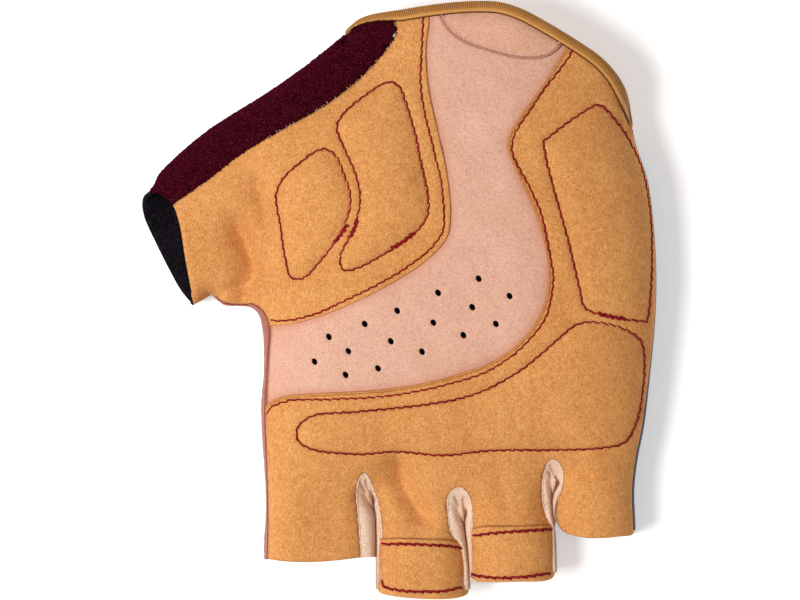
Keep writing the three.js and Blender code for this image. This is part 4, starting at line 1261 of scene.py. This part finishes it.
def wrist_binding():
    """Adds the band, and returns the line on the palm side where it is sewn to the cloth."""
    around = np.roll(rim_cloth, -1, 1) - np.roll(rim_cloth, 1, 1)
    into = np.gradient(rim_cloth, axis=0)
    normal = unit(eased_ring(unit(np.cross(around, into)), CLOTH_PASSES))
    if normal[0, len(front_rim) // 2, 2] < 0:
        normal = -normal
    widths = band_widths()
    everywhere = np.arange(len(whole_rim))

    def spot(depth):
        """The cloth and its facing at a depth in from the rim."""
        k = np.clip(np.maximum(depth, 0) * widths / ROW_STEP, 0, len(ROW_DEPTHS) - 1.01)
        i, t = k.astype(int), (k % 1)[:, None]
        return (rim_cloth[i, everywhere] * (1 - t) + rim_cloth[i + 1, everywhere] * t,
                unit(normal[i, everywhere] * (1 - t) + normal[i + 1, everywhere] * t))

    along = lengths(np.vstack([rim_cloth[0], rim_cloth[0, :1]]))
    valley = 0.5 + 0.5 * np.cos(TURN * along[:-1] / along[-1] * round(along[-1] / RIB))
    sections, grooves = [], []
    for depth, height, ribbed in BAND:
        place, facing = spot(depth)
        sink = RIB_DEPTH * ribbed * valley
        lip = height * (0.6 + 0.4 * widths) - sink * np.sign(height)
        inward = sink * ease(0.4, -0.05, depth) - max(0.0, -depth)
        sections.append(place + facing * lip[:, None] + unit(into[0]) * inward[:, None])
        # The groove mark: the rib valleys, darkened as painted shade, and -1 on the smooth strip, which is
        # lightened.
        grooves.append(ribbed * valley if ribbed else np.full(len(valley), -1.0 if height > 0.3 else 0))
    faces = grid_faces(len(sections), len(whole_rim), wrap_rows=True, wrap_columns=True)
    obj = piece("wrist_binding_band", (np.vstack(sections), faces), elastic_finish,
                "wrist_binding")
    mark(obj, "groove", np.concatenate(grooves))
    place, facing = spot(SEAM_DEPTH)
    return (place + 0.1 * facing)[on_front]


binding_seam = wrist_binding()


# Pull tabs

TIP_ROWS = (-0.1, -0.25, -0.5, -0.8, -1.2, -1.7)
TIP_ROLL = (1.9, 1.7)       # radius and depth of the roll at a tab's tip
TAB_ROLL = (0.4, 0.25)      # and at its other edges


def tab_level(flat, tab):
    """A tab's face: it keeps the height of the stall's end beyond it, and rolls down at its tip."""
    over_stall = np.column_stack([flat[:, 0], np.maximum(flat[:, 1], tab["stall_end"])])
    return top_level(over_stall) + rolled(measure(flat, smooth(tab["tip"], 0.4))[0], *TIP_ROLL)


def pull_tab(node, tab):
    top, right, tip, left = (smooth(tab[key], 0.4) for key in ("top", "right", "tip", "left"))
    stitches = [smooth(line) for line in tab["stitches"]]
    flat, faces = triangulated(outline_of(top, right, tip, left), step=0.6, lines=stitches,
                               rings=[(tip, TIP_ROWS, 0.4)])
    edge_gap = np.min([measure(flat, line)[0] for line in (top, left, right)], axis=0)
    level = tab_level(flat, tab) + 1.05 + 0.1 * unevenness(flat * 2.5) + rolled(edge_gap, *TAB_ROLL)
    for line in stitches:
        level += groove(flat, line, 0.3, 0.5)
    thickness = 0.9 + 1.7 * ease(tab["stall_end"] + 0.1, tab["stall_end"] - 1.7, flat[:, 1])
    shape = slab(lifted(flat, level), faces, thickness)
    obj = piece(node + "_suede", shape, suede_finish, node)
    mark(obj, "edge", 0.8 * bell(measure(flat, top)[0], 0.2))


for tab_name, tab in TABS.items():
    pull_tab("pull_tab_" + tab_name, tab)


# Stitches

CORD_SIDES = 6
BEAD_SIDES = 8


def turns(count):
    """Cosine and sine, as columns, of even steps round a circle."""
    turn = np.linspace(0, TURN, count + 1)[:-1, None]
    return np.cos(turn), np.sin(turn)


def tube(path, across, up, thick):
    """Points in rings round a path."""
    cosine, sine = turns(CORD_SIDES)
    return np.vstack([p + r * (cosine * a + sine * u) for p, a, u, r in zip(path, across, up, thick)])


def needle_hole_shade_bead(centre, heading, radius):
    """A small sunk bead, darkened as painted shade, that stands for the dark hole between two stitches."""
    ahead = np.array([*heading, 0.0]) * radius * 0.95
    aside = np.array([-heading[1], heading[0], 0.0]) * radius * 1.35
    height = np.array([0, 0, radius * 0.7])
    cosine, sine = turns(BEAD_SIDES)
    verts = np.vstack([centre + cosine * ahead + sine * aside, centre + height, centre - height])
    pairs = [(i, (i + 1) % BEAD_SIDES) for i in range(BEAD_SIDES)]
    return verts, [(i, j, BEAD_SIDES) for i, j in pairs] + [(j, i, BEAD_SIDES + 1) for i, j in pairs]


def stitch_row(line, level_of, pitch=STITCH, radius=THREAD, slant=0.13):
    """Threads that dip into the cloth at each needle hole, and the hole where each ends, both darkened there
    as painted shade.
    """
    total = lengths(line)[-1]
    count = max(1, int(round(total / pitch)))
    ts = np.linspace(-0.02, 1.02, 11)
    edge = np.abs(2 * ts - 1)
    flat = read(line, np.clip((np.arange(count)[:, None] + ts) * total / count, 0, total))
    heading = unit(flat[:, -1] - flat[:, 0])
    left = np.stack([-heading[:, 1], heading[:, 0]], 1)
    lean = slant * RNG.uniform(0.7, 1.3, (count, 1)) * np.cos(math.pi * ts)
    lean = lean + 0.05 * RNG.uniform(-1, 1, (count, 1))
    flat = flat + lean[..., None] * left[:, None]
    level = level_of(flat.reshape(-1, 2)).reshape(count, -1) + 0.8 * radius - 0.24 * edge ** 6
    first = len(ts) * CORD_SIDES
    start = first - CORD_SIDES
    pairs = [(i, (i + 1) % CORD_SIDES) for i in range(CORD_SIDES)]
    faces = [*grid_faces(len(ts), CORD_SIDES, wrap_columns=True), *((first, j, i) for i, j in pairs),
             *((first + 1, start + i, start + j) for i, j in pairs)]
    shade = [*np.repeat(np.clip(edge * 4 - 3, 0, 1), CORD_SIDES), 1, 1, *np.ones(BEAD_SIDES + 2)]
    parts = []
    for path, forward, aside in zip(np.dstack([flat, level]), heading, left):
        across = np.array([[*aside, 0.0]])
        up = 0.85 * unit(np.cross(unit(np.gradient(path, axis=0)), across))
        thick = radius * (1 - 0.2 * edge ** 4) * RNG.uniform(0.88, 1.14)
        rings = tube(path, np.repeat(across, len(ts), 0), up, thick)
        parts.append((np.vstack([rings, path[[0, -1]]]), faces))
        parts.append(needle_hole_shade_bead(path[-1] + [0, 0, 0.12], forward, radius * 1.05))
    return parts, shade * count


def sewn(name, rows, finish):
    """All the rows of one colour on one panel, as one piece."""
    obj = piece(name, joined([part for parts, _ in rows for part in parts]), finish)
    mark(obj, "ends", np.concatenate([shade for _, shade in rows]))


def suede_level(flat):
    lines = (*pad_lines.values(), thenar_stitch, palm_stitch)
    return top_level(flat) + sum(groove(flat, line, 0.25, 0.5) for line in lines)


def back_tack(points):
    """A short stretch sewn over again, one thread beside the other."""
    return [stitch_row(shifted(smooth(points), aside), suede_level, 1.3, THREAD * 1.2, 0.2)
            for aside in (-0.17, 0.2)]


sewn("thenar_stitches", [
    *(stitch_row(line, suede_level) for line in (thenar_stitch, pad_lines["thenar"], pad_lines["thumb"])),
    *back_tack([(-2.2, 12.8), (0.4, 14.3), (3.6, 16.8)]),
    *back_tack([(-16.2, 14.3), (-14.4, 16.6), (-13, 18.9)]),
    *back_tack([(-12.6, 15.4), (-11.3, 17.8), (-10.6, 19.8)]),
], red_thread)
sewn("palm_stitches", [
    *(stitch_row(line, suede_level) for line in (palm_stitch, pad_lines["heel"], pad_lines["knuckle"])),
    *back_tack([(49.3, -3.4), (52.6, -4.2), (56.2, -4.8)]),
], red_thread)

for tab_name, tab in TABS.items():
    rows = [stitch_row(smooth(line), lambda flat: tab_level(flat, tab) + 0.95, 2, 0.31)
            for line in tab["stitches"]]
    sewn(f"pull_tab_{tab_name}_stitches", rows, red_thread)

gusset_line = shifted(between(gusset_edge, (-46, 0.95), INDEX_CORNER), -0.2)
sewn("gusset_stitches", [stitch_row(gusset_line, lambda p: top_level(p) + 0.02, 1.8, 0.1, 0.08)],
     red_thread)

patch_stitch = shifted(patch_line, 0.92)
patch_stitch = patch_stitch[measure(patch_stitch, wrist_rim)[0] > 1.8]
sewn("patch_stitches", [stitch_row(patch_stitch, lambda p: top_level(p) + 0.12, 1.5, 0.15, 0.1)],
     pink_thread)


# The dark line where the binding is sewn to the cloth

def cord_along(path, radius):
    """A thin round strand along a path in space."""
    tangent = unit(np.gradient(path, axis=0))
    across = unit(np.cross(tangent, [0, 0, 1.0]))
    verts = tube(path, across, np.cross(across, tangent), np.broadcast_to(radius, len(path)))
    ends = [range(CORD_SIDES - 1, -1, -1), range(len(verts) - CORD_SIDES, len(verts))]
    return verts, [*grid_faces(len(path), CORD_SIDES, wrap_columns=True), *ends]


seam_path = resample(binding_seam[(binding_seam[:, 0] > wrist_at_wipe[0]).argmax():-6], 0.35)
seam_path[:, 2] += 0.05 * np.sin(1.4 * np.arange(len(seam_path)))
mark(piece("binding_seam", cord_along(seam_path, 0.15), seam_thread), "ends", [0.3])


# Cut edges shed short fibres

THIRDS = (0, 2.09, 4.19)
FIBRE_FACES = [(0, 1, 4, 3), (1, 2, 5, 4), (2, 0, 3, 5), (3, 4, 6), (4, 5, 6), (5, 3, 6), (0, 2, 1)]


def fringe(name, line, rise, inward, finish, per_mm, reach, spread=0.8, thick=0.065, fray=0.0):
    """Short fibres along a cut edge. rise: their height over the surface. fray: radius of the uneven
    worn rim that they stand in."""
    total = lengths(line)[-1]
    count = int(total * per_mm)
    at = np.sort(RNG.uniform(0, total, count))
    across = unit(read(line, at, sideways(line))) * inward
    flat = read(line, at) - across * RNG.uniform(0, 0.22, (count, 1))
    root = lifted(flat, top_level(flat) + rise - 0.05)
    ahead = np.column_stack([across + spread * RNG.normal(size=(count, 2)), RNG.uniform(0.1, 0.8, count)])
    size = reach * RNG.uniform(0.35, 1.0, (count, 1))
    curl = 0.5 * spread * RNG.normal(size=(count, 3)) * [1, 1, 0.4]
    parts = []
    for base, way, long_as, bend in zip(root, unit(ahead), size, curl):
        path = [base + long_as * (way * t + bend * t * t) for t in (0, 0.5, 1)]
        sidestep = unit(np.cross(way, [0.2, 0.1, 1.0]))
        lift = np.cross(sidestep, way)
        rings = [path[i] + r * (math.cos(a) * sidestep + math.sin(a) * lift)
                 for i, r in ((0, thick), (1, 0.75 * thick)) for a in THIRDS]
        parts.append((np.vstack([*rings, path[2]]), FIBRE_FACES))
    if fray:
        rim = resample(line, 0.22)
        rim = rim + 0.05 * RNG.normal(size=rim.shape)
        radii = fray * RNG.uniform(0.7, 1.3, len(rim))
        parts.append(cord_along(lifted(rim, top_level(rim) + rise - 0.08), radii))
    mark(piece(name, joined(parts), finish), "edge", [0.0])


for name, edge in zip(FOURCHETTES, cream_edges):
    fringe(name + "_fibres", edge, 0.2, -1, fibre_finish, 6, 0.5, thick=0.09, fray=0.13)
fringe("thumb_wipe_fibres", wipe_front, 0.12, -1, terry_finish, 14, 0.5)
upper_wipe = between(wipe_edge, (-33, 40.5), wrist_at_wipe)
fringe("thenar_panel_fibres", upper_wipe, 0.42, 1, tuft_finish, 1.1, 0.65, 0.4, 0.11)
under_lip = binding_seam[(binding_seam[:, 0] < wrist_at_wipe[0] + 0.5) & (binding_seam[:, 0] > -12.5)]
fringe("thumb_wipe_top_fibres", resample(under_lip, 0.3)[:, :2], 0.92, 1, terry_finish,
       26, 0.7, thick=0.05)


# Stage, light and camera

FRAME_WIDTH = 0.2       # the view across the palm, 4 photo pixels to a millimetre
CAMERA_HEIGHT = 3.0
PALM_HEIGHT = 0.013
FLOOR_REACH = 3
SENSOR_WIDTH = 36       # millimetres

corners = [(-1, -1, 0), (1, -1, 0), (1, 1, 0), (-1, 1, 0)]
floor = placed("floor", meshed("floor", np.array(corners) * FLOOR_REACH, [(0, 1, 2, 3)]))
pale = Finish("pale_floor", 0.9, specular=0.1)
pale.fill(pale.shader, {"Emission Color": (1, 1, 1), "Emission Strength": 0.42})
floor.data.materials.append(
    pale.done(pale.mix(pale.noise(60, 2), linear(246, 246, 246), linear(250, 250, 250))))

lens = bpy.data.cameras.new("camera")
lens.sensor_width = SENSOR_WIDTH
lens.lens = SENSOR_WIDTH * (CAMERA_HEIGHT - PALM_HEIGHT) / FRAME_WIDTH
lens.clip_end = 20
camera = placed("camera", lens)
camera.location = (0, 0, CAMERA_HEIGHT)
bpy.context.scene.camera = camera


def softbox(name, location, size, power):
    data = bpy.data.lights.new(name, "AREA")
    data.shape = "DISK"
    data.size = size
    data.energy = power
    lamp = placed(name, data)
    lamp.location = location
    lamp.rotation_euler = (-Vector(location)).to_track_quat("-Z", "Y").to_euler()


softbox("key_softbox", (-0.8, -0.18, 1.3), 0.6, 19.3)
softbox("fill_softbox", (0.5, 0.9, 1.2), 1.2, 1)

world = bpy.data.worlds.new("studio")
world.use_nodes = True
background = world.node_tree.nodes["Background"]
background.inputs["Color"].default_value = (1, 0.94, 0.89, 1)
background.inputs["Strength"].default_value = 0.3
bpy.context.scene.world = world
bpy.context.scene.view_settings.view_transform = "Standard"
